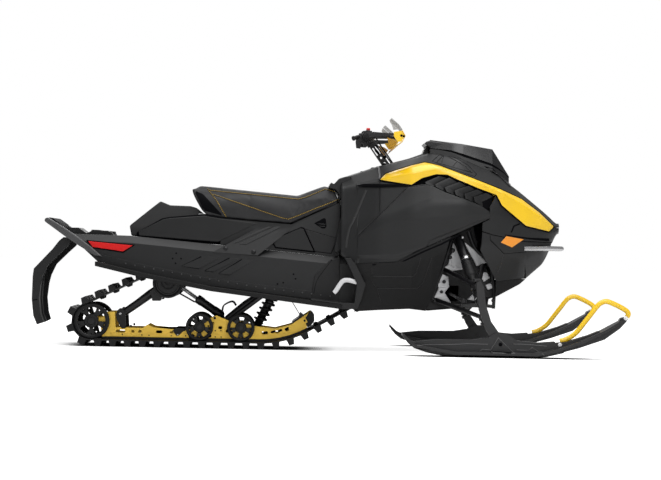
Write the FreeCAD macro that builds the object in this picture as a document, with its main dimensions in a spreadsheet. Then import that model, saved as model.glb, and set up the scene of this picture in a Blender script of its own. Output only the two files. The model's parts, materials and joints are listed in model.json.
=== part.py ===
import FreeCAD, Part
import math
import os
import Sketcher
from FreeCAD import Placement, Rotation, Vector

# A one-seat trail snowmobile. Millimetres; +X is forward, +Y is the rider's left, +Z is up.
# The origin lies on the ground, midway along the length and on the middle plane.

# ---------------------------------------------------------------- driving sizes
SIZES = {
    # track and the wheels that carry it
    "track_width": 381,
    "track_side_gap": 17.5,
    "belt_thickness": 6,
    "lug_height": 28,
    "lug_pitch": 72.6,
    "lug_root": 38,
    "lug_tip": 24,
    "drive_lug_height": 12,
    "drive_lug_root": 30,
    "drive_lug_tip": 16,
    "drive_lug_inner": 34,
    "drive_lug_outer": 58,
    "block_gap_inner": 64,
    "block_gap_outer": 104,
    "window_length": 30,
    "window_width": 26,
    "idler_radius": 88,
    "rail_wheel_radius": 68,
    "carrier_radius": 75,
    "sprocket_radius": 85,
    "wheel_width": 30,
    "wheel_inner_face": 125,
    "idler_axle_radius": 10,
    "carrier_axle_radius": 10,
    "drive_axle_radius": 14,
    "wheel_window_count": 5,
    "wheel_window_margin": 4,
    "wheel_slot_width": 6,
    "running_gap": 0.3,
    # slide rails
    "rail_thickness": 8,
    "rail_centre": 115,
    "shoe_height": 12,
    "shoe_width": 18,
    "rail_bend_radius": 500,
    # skid arms and dampers
    "arm_tube_radius": 13,
    "arm_leg_centre": 88,
    "cross_tube_radius": 12,
    "damper_radius": 20,
    "strap_width": 40,
    "strap_thickness": 4,
    # tunnel and what is fixed along it
    "tunnel_wall": 3,
    "tunnel_bevel": 35,
    "board_width": 128,
    "board_height": 22,
    "board_slot_pitch": 104,
    "board_slot_length": 76,
    "board_slot_width": 60,
    "foot_well_wall": 5,
    "toe_bar_radius": 9,
    "bumper_radius": 13,
    "bumper_bend": 60,
    "flap_half_width": 192,
    "flap_wall": 6,
    "deck_half_width": 120,
    "lens_thickness": 4,
    "anchor_spacing": 180,
    "anchor_radius": 9,
    # seat
    "cover_half_width": 150,
    "cover_top_half_width": 100,
    "seat_half_width": 165,
    "seat_top_half_width": 120,
    "seat_base_half_width": 165,
    "bracket_thickness": 5,
    # body shell
    "shell_wall": 4,
    "panel_gap": 0.6,
    "skin_rise": 4,
    "louvre_pitch": 47,
    "louvre_slot": 14,
    "louvre_margin": 7,
    "bay_half_width": 150,
    "engine_half_width": 190,
    "front_tube_radius": 12,
    # front suspension
    "a_arm_radius": 11,
    "eye_radius": 20,
    "eye_height": 24,
    "kingpin_radius": 9,
    "pin_gap": 0.5,
    "eye_clearance": 5.5,
    "spindle_thickness": 28,
    "front_damper_radius": 26,
    "ski_centre": 500,
    "ski_width": 150,
    "ski_plate": 14,
    "ski_rib_width": 50,
    "saddle_wall": 8,
    "runner_width": 12,
    "runner_depth": 12,
    "ski_bolt_radius": 8,
    "loop_radius": 11,
    "tie_rod_radius": 8,
    "tie_pin_radius": 6,
    "tie_eye_radius": 14,
    "tie_eye_height": 16,
    # steering
    "post_radius": 15,
    "bar_radius": 11,
    "bar_half_width": 365,
    "grip_radius": 17,
    "grip_length": 125,
    "guard_wall": 5,
    "shield_wall": 3,
    "riser_plate": 6,
    "riser_half_width": 17,
    "riser_spread": 16,
    "riser_hole": 6,
    "riser_slot": 8,
    "cable_radius": 3.5,
    "cable_reach": 33,
    "well_radius": 48,
    "well_wall": 3,
}

doc = FreeCAD.newDocument("snowmobile")
sheet = doc.addObject("Spreadsheet::Sheet", "sizes")
for row, (alias, number) in enumerate(SIZES.items(), 1):
    sheet.set(f"A{row}", alias)
    sheet.set(f"B{row}", str(number))
    sheet.setAlias(f"B{row}", alias)
doc.recompute()
S = {alias: float(sheet.get(alias)) for alias in SIZES}
NODES = {}

# ---------------------------------------------------------------- helpers


def keep(label, thing):
    """Give a finished sub-part its name; the name is also its file's."""
    thing.Label = label
    NODES[label] = thing
    return thing


def bind(thing, **sizes):
    """Tie properties of a document object to cells of the sheet."""
    for name, alias in sizes.items():
        thing.setExpression(name, f"sizes.{alias}")


def close_sketch(sketch, points):
    """Draw a closed outline of straight sides in a sketch."""
    count = len(points)
    for index, (u, v) in enumerate(points):
        u2, v2 = points[(index + 1) % count]
        sketch.addGeometry(Part.LineSegment(Vector(u, v, 0), Vector(u2, v2, 0)), False)
    for index in range(count):
        joint = Sketcher.Constraint("Coincident", index, 2, (index + 1) % count, 1)
        sketch.addConstraint(joint)


def new_sketch(body, role, name, points):
    """A sketch of one closed outline on one of the body's own origin planes."""
    sketch = body.newObject("Sketcher::SketchObject", name)
    base = [f for f in body.Origin.OriginFeatures if f.Role == role][0]
    sketch.AttachmentSupport = [(base, "")]
    sketch.MapMode = "FlatFace"
    close_sketch(sketch, points)
    return sketch


def side_pad(name, outline, width, centre=0.0):
    """A body padded sideways from an outline of (x, z), its middle at y = centre.

    width is a number, or an expression on the sheet."""
    body = doc.addObject("PartDesign::Body", name)
    sketch = new_sketch(body, "XZ_Plane", name + "_outline", outline)
    sketch.AttachmentOffset = Placement(Vector(0, 0, -centre), Rotation())
    pad = body.newObject("PartDesign::Pad", name + "_pad")
    pad.Profile = sketch
    pad.SideType = "Symmetric"
    if isinstance(width, str):
        pad.setExpression("Length", width)
    else:
        pad.Length = width
    return body


def plan_pad(name, outline, low, high):
    """A body padded upwards from an outline of (x, y), from z = low to z = high."""
    body = doc.addObject("PartDesign::Body", name)
    sketch = new_sketch(body, "XY_Plane", name + "_outline", outline)
    sketch.AttachmentOffset = Placement(Vector(0, 0, low), Rotation())
    pad = body.newObject("PartDesign::Pad", name + "_pad")
    pad.Profile = sketch
    pad.Length = high - low
    return body


def front_pad(name, outline, low, high):
    """A body padded forwards from an outline of (y, z), from x = low to x = high."""
    body = doc.addObject("PartDesign::Body", name)
    sketch = new_sketch(body, "YZ_Plane", name + "_outline", outline)
    sketch.AttachmentOffset = Placement(Vector(0, 0, low), Rotation())
    pad = body.newObject("PartDesign::Pad", name + "_pad")
    pad.Profile = sketch
    pad.Length = high - low
    return body


def turned(name, profile, place):
    """A body of revolution about a crosswise axis; profile is (y, radius), place is (x, z)."""
    body = doc.addObject("PartDesign::Body", name)
    sketch = new_sketch(body, "YZ_Plane", name + "_profile", profile)
    spin = body.newObject("PartDesign::Revolution", name + "_spin")
    spin.Profile = sketch
    spin.ReferenceAxis = (sketch, ["H_Axis"])
    spin.Angle = 360
    body.Placement = Placement(Vector(place[0], 0, place[1]), Rotation())
    return body


def boolean(kind, name, first, *others):
    """Part boolean of document objects: Cut, Fuse or Common."""
    result = first
    for index, other in enumerate(others):
        step = doc.addObject("Part::" + kind, f"{name}_{index}")
        step.Base = result
        step.Tool = other
        result = step
    return result


def group(name, *things):
    """One object of several solids that do not touch."""
    bundle = doc.addObject("Part::Compound", name)
    bundle.Links = list(things)
    return bundle


def mirrored(name, thing):
    """The same piece on the other side of the middle plane."""
    twin = doc.addObject("Part::Mirroring", name)
    twin.Source = thing
    twin.Normal = Vector(0, 1, 0)
    return twin


def pair(name, thing):
    """A right-hand piece with its left-hand twin."""
    return group(name, thing, mirrored(name + "_left", thing))


def ruled(name, rings):
    """A solid with flat or ruled sides through closed rings of points."""
    sections = []
    for index, ring in enumerate(rings):
        section = doc.addObject("Part::Polygon", f"{name}_ring{index}")
        section.Nodes = [Vector(*point) for point in ring]
        section.Close = True
        sections.append(section)
    loft = doc.addObject("Part::Loft", name)
    loft.Sections = sections
    loft.Solid = True
    loft.Ruled = True
    return loft


def rod(name, start, end, alias):
    """A round bar between two points, its radius from the sheet."""
    start, end = Vector(*start), Vector(*end)
    bar = doc.addObject("Part::Cylinder", name)
    bind(bar, Radius=alias)
    bar.Height = (end - start).Length
    bar.Placement = Placement(start, Rotation(Vector(0, 0, 1), end - start))
    return bar


def ring_of(name, centre, axis, outer, inner, height):
    """A round eye: outer and inner are expressions on the sheet."""
    centre, axis = Vector(*centre), Vector(*axis).normalize()
    ends = [centre - axis * (height / 2), centre + axis * (height / 2)]
    turn = Rotation(Vector(0, 0, 1), axis)
    boss = doc.addObject("Part::Cylinder", name + "_boss")
    boss.setExpression("Radius", outer)
    boss.Height = height
    boss.Placement = Placement(ends[0], turn)
    bore = doc.addObject("Part::Cylinder", name + "_bore")
    bore.setExpression("Radius", inner)
    bore.Height = height * 3
    bore.Placement = Placement(ends[0] - axis * height, turn)
    return boss, bore


def bent_tube(name, points, bend, radius, bore=0.0):
    """A tube along straight runs joined by tangent arcs of one radius."""
    points = [Vector(*point) for point in points]
    edges = []
    last = points[0]
    for before, corner, after in zip(points, points[1:], points[2:]):
        back = (before - corner).normalize()
        ahead = (after - corner).normalize()
        half = back.getAngle(ahead) / 2
        reach = bend / math.tan(half)
        inward = (back + ahead).normalize()
        centre = corner + inward * (bend / math.sin(half))
        edges.append(Part.LineSegment(last, corner + back * reach).toShape())
        arc = Part.Arc(corner + back * reach, centre - inward * bend, corner + ahead * reach)
        edges.append(arc.toShape())
        last = corner + ahead * reach
    edges.append(Part.LineSegment(last, points[-1]).toShape())
    path = Part.Wire(edges)
    heading = points[1] - points[0]
    skins = []
    for size in (radius, bore):
        if size > 0:
            section = Part.Wire(Part.makeCircle(size, points[0], heading))
            skins.append(path.makePipeShell([section], True, False))
    shape = skins[0] if len(skins) == 1 else skins[0].cut(skins[1])
    tube = doc.addObject("Part::Feature", name)
    tube.Shape = shape
    return tube


def largest(name, thing):
    """The largest solid of a cut, without the slivers left where two skins meet."""
    doc.recompute()
    piece = doc.addObject("Part::Feature", name)
    piece.Shape = max(thing.Shape.Solids, key=lambda solid: solid.Volume)
    return piece


def on_line(points, x):
    """Height of a polyline of (x, z), rising in x, at one x."""
    for (x0, z0), (x1, z1) in zip(points, points[1:]):
        if x <= x1:
            break
    return z0 + (z1 - z0) * (x - x0) / (x1 - x0)


# ---------------------------------------------------------------- track and wheels
# Inner circles of the belt loop in running order: (x, z, radius).
TUNNEL_HALF = S["track_width"] / 2 + S["track_side_gap"]
ground_gap = S["lug_height"] + S["belt_thickness"]
SPROCKET = (125.0, 315.0)
IDLER = (-1152.0, ground_gap + S["running_gap"] + S["idler_radius"])
CARRIER = (-778.0, 317.0)
RAIL_FRONT = -330.0
BELT_CIRCLES = [
    (IDLER[0], IDLER[1], S["idler_radius"] + S["running_gap"]),
    (RAIL_FRONT, ground_gap + S["rail_bend_radius"], S["rail_bend_radius"]),
    (SPROCKET[0], SPROCKET[1], S["sprocket_radius"] + S["running_gap"]),
    (CARRIER[0], CARRIER[1], S["carrier_radius"] + S["running_gap"]),
]


def belt_runs(circles):
    """Straight runs of the belt: where each leaves one circle and meets the next.

    Every circle lies inside the loop, which runs rear to front along the ground, so a run
    from circle a to circle b leaves both at the same outward angle."""
    runs = []
    for (xa, za, ra), (xb, zb, rb) in zip(circles, circles[1:] + circles[:1]):
        span = math.hypot(xb - xa, zb - za)
        heading = math.atan2(zb - za, xb - xa)
        out = heading - math.acos((ra - rb) / span)
        runs.append((out, (xa, za, ra), (xb, zb, rb)))
    return runs


def rim_point(circle, angle):
    """Point on a circle (x, z, radius) at an outward angle."""
    x, z, radius = circle
    return Vector(x + radius * math.cos(angle), 0, z + radius * math.sin(angle))


def belt_station(runs, distance):
    """Point on the belt's inner face and outward direction at a distance along it."""
    for index, (out, first, second) in enumerate(runs):
        normal = Vector(math.cos(out), 0, math.sin(out))
        start = Vector(first[0], 0, first[1]) + normal * first[2]
        end = Vector(second[0], 0, second[1]) + normal * second[2]
        length = (end - start).Length
        if distance <= length:
            return start + (end - start) * (distance / length), normal
        distance -= length
        turn = (runs[(index + 1) % len(runs)][0] - out) % (2 * math.pi)
        if distance <= turn * second[2]:
            angle = out + distance / second[2]
            normal = Vector(math.cos(angle), 0, math.sin(angle))
            return Vector(second[0], 0, second[1]) + normal * second[2], normal
        distance -= turn * second[2]
    return belt_station(runs, distance)


def belt_length(runs):
    """Length of the belt's inner face once round."""
    total = 0.0
    for index, (out, first, second) in enumerate(runs):
        normal = Vector(math.cos(out), 0, math.sin(out))
        start = Vector(first[0], 0, first[1]) + normal * first[2]
        end = Vector(second[0], 0, second[1]) + normal * second[2]
        turn = (runs[(index + 1) % len(runs)][0] - out) % (2 * math.pi)
        total += (end - start).Length + turn * second[2]
    return total


def make_track():
    """Endless belt with three lug blocks and two drive windows at every pitch, as one loop."""
    runs = belt_runs(BELT_CIRCLES)
    count = round(belt_length(runs) / S["lug_pitch"])
    pitch = belt_length(runs) / count
    outer, skin = [], []
    for index in range(count):
        middle = (index + 0.5) * pitch
        for shift, rise in (
            (-S["lug_root"] / 2, 0),
            (-S["lug_tip"] / 2, S["lug_height"]),
            (S["lug_tip"] / 2, S["lug_height"]),
            (S["lug_root"] / 2, 0),
        ):
            point, normal = belt_station(runs, middle + shift)
            outer.append(point + normal * (S["belt_thickness"] + rise))
            if rise == 0:
                skin.append(outer[-1])
    edges = []
    for index, (out, first, second) in enumerate(runs):
        turn = (runs[(index + 1) % len(runs)][0] - out) % (2 * math.pi)
        start, end = rim_point(first, out), rim_point(second, out)
        edges.append(Part.LineSegment(start, end).toShape())
        middle, last = rim_point(second, out + turn / 2), rim_point(second, out + turn)
        edges.append(Part.Arc(end, middle, last).toShape())
    tread = Part.Face(Part.makePolygon(outer + outer[:1]))
    plain = Part.Face(Part.makePolygon(skin + skin[:1])).cut(Part.Face(Part.Wire(edges)))
    lugged = tread.cut(Part.Face(Part.Wire(edges)))
    half = S["track_width"] / 2
    strips = []
    for face, low, high in (
        (lugged, -half, -S["block_gap_outer"]),
        (plain, -S["block_gap_outer"], -S["block_gap_inner"]),
        (lugged, -S["block_gap_inner"], S["block_gap_inner"]),
        (plain, S["block_gap_inner"], S["block_gap_outer"]),
        (lugged, S["block_gap_outer"], half),
    ):
        strip = face.extrude(Vector(0, high - low, 0))
        strip.translate(Vector(0, low, 0))
        strips.append(strip)
    drive = []
    for index in range(count):
        point, normal = belt_station(runs, (index + 0.5) * pitch)
        turn = Rotation(Vector(0, 0, 1), normal)
        foot, tip = S["drive_lug_root"] / 2, S["drive_lug_tip"] / 2
        sunk, deep = S["belt_thickness"] / 2, S["drive_lug_height"]
        wide = S["drive_lug_outer"] - S["drive_lug_inner"]
        shape = [(-foot, sunk), (foot, sunk), (foot, 0), (tip, -deep), (-tip, -deep), (-foot, 0)]
        ring = [Vector(u, -wide / 2, w) for u, w in shape]
        block = Part.Face(Part.makePolygon(ring + ring[:1])).extrude(Vector(0, wide, 0))
        for side in (-1, 1):
            lug = block.copy()
            middle = side * (S["drive_lug_inner"] + S["drive_lug_outer"]) / 2
            lug.Placement = Placement(point + Vector(0, middle, 0), turn)
            drive.append(lug)
    solid = strips[0].fuse(strips[1:] + drive).removeSplitter()
    row = (S["block_gap_inner"] + S["block_gap_outer"]) / 2
    long, wide = S["window_length"], S["window_width"]
    windows = []
    for index in range(count):
        point, normal = belt_station(runs, index * pitch)
        turn = Rotation(Vector(0, 0, 1), normal)
        for side in (-1, 1):
            window = Part.makeBox(long, wide, 6 * S["belt_thickness"])
            window.translate(Vector(-long / 2, -wide / 2, -3 * S["belt_thickness"]))
            window.Placement = Placement(point + Vector(0, side * row, 0), turn).multiply(
                window.Placement)
            windows.append(window)
    belt = doc.addObject("Part::Feature", "track_loop")
    belt.Shape = solid.cut(windows)
    keep("track", belt)


def wheel_profile(radius, axle, reach):
    """Half-section (y, radius) of two spoked wheels on one axle that reaches to y = reach."""
    face = S["wheel_inner_face"]
    rim = radius - 14
    hub = axle + 12
    middle = face + S["wheel_width"] / 2
    web = 4
    right = [
        (face - 4, axle),
        (face - 4, hub),
        (middle - web, hub),
        (middle - web, rim),
        (face, rim),
        (face, radius),
        (face + S["wheel_width"], radius),
        (face + S["wheel_width"], rim),
        (middle + web, rim),
        (middle + web, hub),
        (face + S["wheel_width"] + 4, hub),
        (face + S["wheel_width"] + 4, axle),
        (max(reach, face + S["wheel_width"] + 5), axle),
    ]
    left = [(-y, r) for y, r in reversed(right)]
    end = right[-1][0]
    return [(-end, 0.0)] + left + right + [(end, 0.0)]


def spoked(body, name, radius, axle):
    """Cut the ring of windows, with a narrow slot between each two, through both webs."""
    margin = S["wheel_window_margin"]
    low, high = axle + 12 + margin, radius - 14 - margin
    window = [(low, -0.42 * low), (high, -0.32 * high), (high, 0.32 * high), (low, 0.42 * low)]
    half, turn = S["wheel_slot_width"] / 2, math.pi / S["wheel_window_count"]
    slot = [(low + margin, -half), (high, -half), (high, half), (low + margin, half)]
    slot = [(u * math.cos(turn) - v * math.sin(turn), u * math.sin(turn) + v * math.cos(turn))
            for u, v in slot]
    sketch = new_sketch(body, "XZ_Plane", name + "_window", window)
    start = len(window)
    for index, (u, v) in enumerate(slot):
        u2, v2 = slot[(index + 1) % len(slot)]
        sketch.addGeometry(Part.LineSegment(Vector(u, v, 0), Vector(u2, v2, 0)), False)
    for index in range(len(slot)):
        following = start + (index + 1) % len(slot)
        sketch.addConstraint(Sketcher.Constraint("Coincident", start + index, 2, following, 1))
    cut = body.newObject("PartDesign::Pocket", name + "_openings")
    cut.Profile = sketch
    cut.Type = "ThroughAll"
    cut.Midplane = True
    doc.recompute()
    spread = body.newObject("PartDesign::PolarPattern", name + "_pattern")
    spread.Originals = [cut]
    spread.Axis = (sketch, ["N_Axis"])
    spread.Angle = 360
    bind(spread, Occurrences="wheel_window_count")
    body.Tip = spread


def wheel_pair(name, place, radius, axle, reach):
    """Two spoked wheels with the axle that joins them."""
    body = turned(name, wheel_profile(radius, axle, reach), place)
    spoked(body, name, radius, axle)
    return body


TUNNEL_INNER = TUNNEL_HALF - S["tunnel_wall"]
RAIL_WHEEL = (-418.0, ground_gap + S["running_gap"] + S["rail_wheel_radius"])
INNER_WHEEL = (-622.0, RAIL_WHEEL[1])


def make_wheels():
    """Rear idlers, rail wheels and carrier wheels, and the drive axle with its sprockets."""
    face = S["wheel_inner_face"] + S["wheel_width"] + 8
    idlers = wheel_pair("idler_set", IDLER, S["idler_radius"], S["idler_axle_radius"], face)
    keep("rear_idlers", idlers)
    wheels = []
    for name, place in (("front_rail_set", RAIL_WHEEL), ("mid_rail_set", INNER_WHEEL)):
        wheels.append(
            wheel_pair(name, place, S["rail_wheel_radius"], S["idler_axle_radius"], face)
        )
    carriers = wheel_pair(
        "carrier_set", CARRIER, S["carrier_radius"], S["carrier_axle_radius"], TUNNEL_INNER
    )
    keep("rail_wheels", group("rail_wheel_sets", *wheels, carriers))
    disc = (70.0, 100.0)
    profile = [
        (-TUNNEL_INNER, 0.0),
        (-TUNNEL_INNER, S["drive_axle_radius"]),
        (-disc[1], S["drive_axle_radius"]),
        (-disc[1], S["sprocket_radius"]),
        (-disc[0], S["sprocket_radius"]),
        (-disc[0], S["drive_axle_radius"]),
        (disc[0], S["drive_axle_radius"]),
        (disc[0], S["sprocket_radius"]),
        (disc[1], S["sprocket_radius"]),
        (disc[1], S["drive_axle_radius"]),
        (TUNNEL_INNER, S["drive_axle_radius"]),
        (TUNNEL_INNER, 0.0),
    ]
    keep("drive_axle", turned("drive_set", profile, SPROCKET))


# ---------------------------------------------------------------- slide rails and skid arms
REAR_ARM_FOOT = (-1010.0, 150.0)
FRONT_ARM_FOOT = (-493.0, 125.0)
FRONT_ARM_TOP = (-230.0, 330.0)
FRONT_DAMPER_FOOT = (-350.0, 90.0)
STRAP_FOOT = (-118.0, 150.0)


# Lightening holes of the rails: (x, z, length).
RAIL_HOLE_HALF = 7
RAIL_HOLES = [
    (-1010, 74, 40), (-950, 74, 10), (-915, 74, 10), (-820, 74, 24), (-760, 70, 10),
    (-722, 70, 10), (-560, 120, 14), (-520, 100, 14), (-480, 84, 20), (-300, 78, 26),
    (-240, 84, 12), (-190, 96, 12),
]


def bend_point(offset, degrees):
    """Point on the rails' front bend, offset inwards from the belt's inner face."""
    reach = S["rail_bend_radius"] - offset
    angle = math.radians(degrees)
    return (
        RAIL_FRONT + reach * math.sin(angle),
        ground_gap + S["rail_bend_radius"] - reach * math.cos(angle),
    )


def make_rails():
    """Slide rails, their low-friction shoes and the shafts between them."""
    low = S["running_gap"] + S["shoe_height"]
    foot = ground_gap + low
    bend = [bend_point(low, angle) for angle in (6, 12, 18, 24, 29)]
    outline = [
        (-1100, foot),
        (RAIL_FRONT, foot),
        *bend,
        (-75, 188),
        (-112, 164),
        (-170, 122),
        (-249, 100),
        (-350, 112),
        (-481, 136),
        (-540, 160),
        (-600, 128),
        (-671, 90),
        (-757, 88),
        (-852, 96),
        (-878, 109),
        (-902, 92),
        (-1035, 92),
        (-1040, 168),
        (-1078, 168),
        (-1100, 140),
        (-1172, 137),
        (-1172, 107),
        (-1110, 100),
    ]
    rail = side_pad("rail_plate", outline, "sizes.rail_thickness", -S["rail_centre"])
    holes = []
    for name, place, alias in (
        ("idler_hole", IDLER, "idler_axle_radius"),
        ("front_wheel_hole", RAIL_WHEEL, "idler_axle_radius"),
        ("mid_wheel_hole", INNER_WHEEL, "idler_axle_radius"),
    ):
        hole = doc.addObject("Part::Cylinder", name)
        hole.setExpression("Radius", f"sizes.{alias} + sizes.running_gap")
        hole.Height = 60
        start = Vector(place[0], -S["rail_centre"] + 30, place[1])
        hole.Placement = Placement(start, Rotation(Vector(0, 0, 1), Vector(0, -1, 0)))
        holes.append(hole)
    for index, (x, z, length) in enumerate(RAIL_HOLES):
        high = [(x - length / 2, z - RAIL_HOLE_HALF), (x + length / 2, z - RAIL_HOLE_HALF),
                (x + length / 2 + 4, z), (x + length / 2, z + RAIL_HOLE_HALF),
                (x - length / 2, z + RAIL_HOLE_HALF), (x - length / 2 - 4, z)]
        holes.append(side_pad(f"rail_hole{index}", high, 40, -S["rail_centre"]))
    rail = boolean("Cut", "rail_cut", rail, *holes)
    keep("skid_rails", pair("rail_pair", rail))
    shoe_low = [bend_point(S["running_gap"], angle) for angle in (6, 12, 18, 24, 29)]
    shoe_high = list(reversed(bend))
    shoe = [
        (-1100, ground_gap + S["running_gap"]),
        (RAIL_FRONT, ground_gap + S["running_gap"]),
        *shoe_low,
        *shoe_high,
        (RAIL_FRONT, foot),
        (-1100, foot),
    ]
    strip = side_pad("shoe_strip", shoe, "sizes.shoe_width", -S["rail_centre"])
    keep("slide_shoes", pair("shoe_pair", strip))


def cross_tube(name, place, half, alias="cross_tube_radius"):
    """A crosswise tube between the rails or the tunnel's walls."""
    return rod(name, (place[0], -half, place[1]), (place[0], half, place[1]), alias)


def make_skid_arms():
    """Rear and front arms of the skid, their dampers and the limiter strap."""
    inside = S["rail_centre"] - S["rail_thickness"] / 2
    leg = S["arm_leg_centre"]
    bore = rod("carrier_axle_bore", (CARRIER[0], -leg - 40, CARRIER[1]),
               (CARRIER[0], leg + 40, CARRIER[1]), "carrier_axle_radius")
    bore.setExpression("Radius", "sizes.carrier_axle_radius + sizes.running_gap")
    legs = []
    for side in (-1, 1):
        legs.append(
            rod(f"rear_leg{side}", (REAR_ARM_FOOT[0], side * leg, REAR_ARM_FOOT[1]),
                (CARRIER[0], side * leg, CARRIER[1]), "arm_tube_radius")
        )
    foot = cross_tube("rear_foot", REAR_ARM_FOOT, inside)
    sleeve = cross_tube("rear_sleeve", CARRIER, leg + 20)
    sleeve.setExpression("Radius", "sizes.arm_tube_radius + 5")
    arm = boolean("Fuse", "rear_arm_sum", foot, *legs, sleeve)
    keep("rear_arm", boolean("Cut", "rear_arm_cut", arm, bore))

    legs = []
    for side in (-1, 1):
        legs.append(
            rod(f"front_leg{side}", (FRONT_ARM_FOOT[0], side * leg, FRONT_ARM_FOOT[1]),
                (FRONT_ARM_TOP[0], side * leg, FRONT_ARM_TOP[1]), "arm_tube_radius")
        )
    foot = cross_tube("front_foot", FRONT_ARM_FOOT, inside)
    top = cross_tube("front_top", FRONT_ARM_TOP, TUNNEL_INNER)
    keep("front_arm", boolean("Fuse", "front_arm_sum", foot, *legs, top))


# ---------------------------------------------------------------- tunnel, boards, bumper, flap
TUNNEL_TOP = [(-1239, 548), (-964, 544), (-7, 464), (250, 455)]
BOARD_LINE = [(-1124, 416), (-896, 365), (-560, 305), (-75, 248), (250, 210)]


def tunnel_hull(name, half, drop, bevel, stretch):
    """Bevelled solid under the tunnel's top line, lowered by drop, its ends moved by stretch."""
    rings = []
    for index, (x, z) in enumerate(TUNNEL_TOP):
        if index == 0:
            x -= stretch[0]
        if index == len(TUNNEL_TOP) - 1:
            x += stretch[1]
        z -= drop
        rings.append([
            (x, -half, 100), (x, -half, z - bevel), (x, bevel - half, z),
            (x, half - bevel, z), (x, half, z - bevel), (x, half, 100),
        ])
    return ruled(name, rings)


def make_tunnel():
    """Folded sheet tunnel over the track, open below and behind."""
    wall = S["tunnel_wall"]
    bevel = S["tunnel_bevel"]
    outline = TUNNEL_TOP + list(reversed(BOARD_LINE)) + [(-1239, 520)]
    side = side_pad("tunnel_side", outline, "sizes.track_width + 2 * sizes.track_side_gap")
    hull = tunnel_hull("tunnel_hull", TUNNEL_HALF, 0, bevel, (0, 0))
    outer = boolean("Common", "tunnel_outer", side, hull)
    inner = tunnel_hull("tunnel_inner", TUNNEL_INNER, wall, bevel - 0.6 * wall, (150, -wall))
    keep("tunnel", boolean("Cut", "tunnel_shell", outer, inner))
    return outer


def make_boards(outer):
    """Running boards, foot wells and the toe bars beside the tunnel."""
    line = BOARD_LINE[:-1] + [(70, 231)]
    outline = line + [(x, z - S["board_height"]) for x, z in reversed(line)]
    centre = -(TUNNEL_HALF + S["board_width"] / 2)
    board = side_pad("board", outline, "sizes.board_width", centre)
    first, last = BOARD_LINE[0][0] + 60, BOARD_LINE[-2][0] - 40
    slots = []
    for index in range(int((last - first) // S["board_slot_pitch"])):
        slot = doc.addObject("Part::Box", f"board_slot{index}")
        bind(slot, Length="board_slot_length", Width="board_slot_width")
        slot.Height = 400
        start = first + index * S["board_slot_pitch"]
        slot.Placement = Placement(Vector(start, centre - S["board_slot_width"] / 2, 100), Rotation())
        slots.append(slot)
    board = boolean("Cut", "board_form", board, *slots)
    well_outline = [
        (-80, 249), (-62, 366), (5, 440), (56, 461), (110, 455), (135, 425),
        (183, 331), (164, 258), (145, 212), (70, 209), (70, 232), (-75, 249),
    ]
    well = side_pad("well_block", well_outline, "sizes.board_width", centre)
    room = [(-100, 256), (-100, 480), (62, 480), (90, 440), (140, 335), (130, 240), (75, 240)]
    hollow = side_pad(
        "well_room", room, "2 * (sizes.board_width - sizes.foot_well_wall)",
        -(TUNNEL_HALF + S["foot_well_wall"] + S["board_width"] - S["foot_well_wall"]),
    )
    well = boolean("Cut", "well_shell", well, hollow, board, outer)
    keep("running_boards", pair("board_pair", board))
    keep("foot_wells", pair("well_pair", well))
    y = -(TUNNEL_HALF + S["board_width"] - S["toe_bar_radius"] - 3)
    bar = bent_tube(
        "toe_bar",
        [(24.4, y, 250), (52, y, 320), (98, y, 345), (150, y, 332)],
        22, S["toe_bar_radius"],
    )
    bar = boolean("Cut", "toe_bar_cut", bar, board, well, outer)
    keep("toe_holds", pair("toe_bar_pair", bar))


ANCHOR_X = -1122


def make_tail():
    """Rear bumper, snow flap, tail deck and tail lamp."""
    y = TUNNEL_HALF + S["bumper_radius"] + S["running_gap"]
    low, high = (-1106, 448), (-1375, 620)
    path = [(low[0], -y, low[1]), (high[0], -y, high[1]), (high[0], y, high[1]), (low[0], y, low[1])]
    loop = bent_tube("bumper_loop", path, S["bumper_bend"], S["bumper_radius"])
    keep("rear_bumper", loop)
    rear = [
        (-1239.3, 545), (-1290, 534), (-1324, 509), (-1363, 465), (-1436, 366),
        (-1441, 239), (-1436, 164), (-1417, 96),
    ]
    front = [
        (-1378, 112), (-1397, 222), (-1394, 266), (-1378, 337),
        (-1344, 399), (-1310, 435), (-1267, 480), (-1239.3, 495),
    ]
    flap = side_pad("flap_block", rear + front, "2 * sizes.flap_half_width")
    wall = S["flap_wall"]
    cut = [(x + wall, z - wall / 2) for x, z in rear]
    cut[0] = (-1200, 540)
    cut[-1] = (cut[-1][0], 60)
    cut = cut + [(-1300, 60), (-1200, 450)]
    hollow = side_pad("flap_hollow", cut, "2 * (sizes.flap_half_width - 2 * sizes.flap_wall)")
    keep("snow_flap", boolean("Cut", "flap_shell", flap, hollow))
    deck = [
        (-1296, 537), (-1296, 578), (-1227, 579), (-1200, 560), (-1186, 552), (-1161, 566),
        (-1086, 567), (-1060, 556), (-1055, 545.6), (-1239, 548.3),
    ]
    deck = side_pad("deck_block", deck, "2 * sizes.deck_half_width")
    bores = []
    for side in (-1, 1):
        bore = rod(f"anchor_bore{side}", (ANCHOR_X, side * S["anchor_spacing"] / 2, 530),
                   (ANCHOR_X, side * S["anchor_spacing"] / 2, 600), "anchor_radius")
        bores.append(bore)
    keep("tail_deck", boolean("Cut", "deck_form", deck, *bores))
    lens = [(-1296.3, 542), (-1296.3, 574), (-1303, 571), (-1303, 545)]
    keep("tail_lamp", side_pad("lamp_lens", lens, "2 * (sizes.deck_half_width - 20)"))
    red = [(-1170, 511), (-953, 494), (-997, 466), (-1128, 486)]
    y = -(TUNNEL_HALF + S["lens_thickness"] / 2 + S["running_gap"])
    lens = side_pad("red_lens", red, "sizes.lens_thickness", y)
    keep("reflectors_red", pair("red_lens_pair", lens))


# ---------------------------------------------------------------- seat
SEAT_FRONT = 58.0


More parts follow.
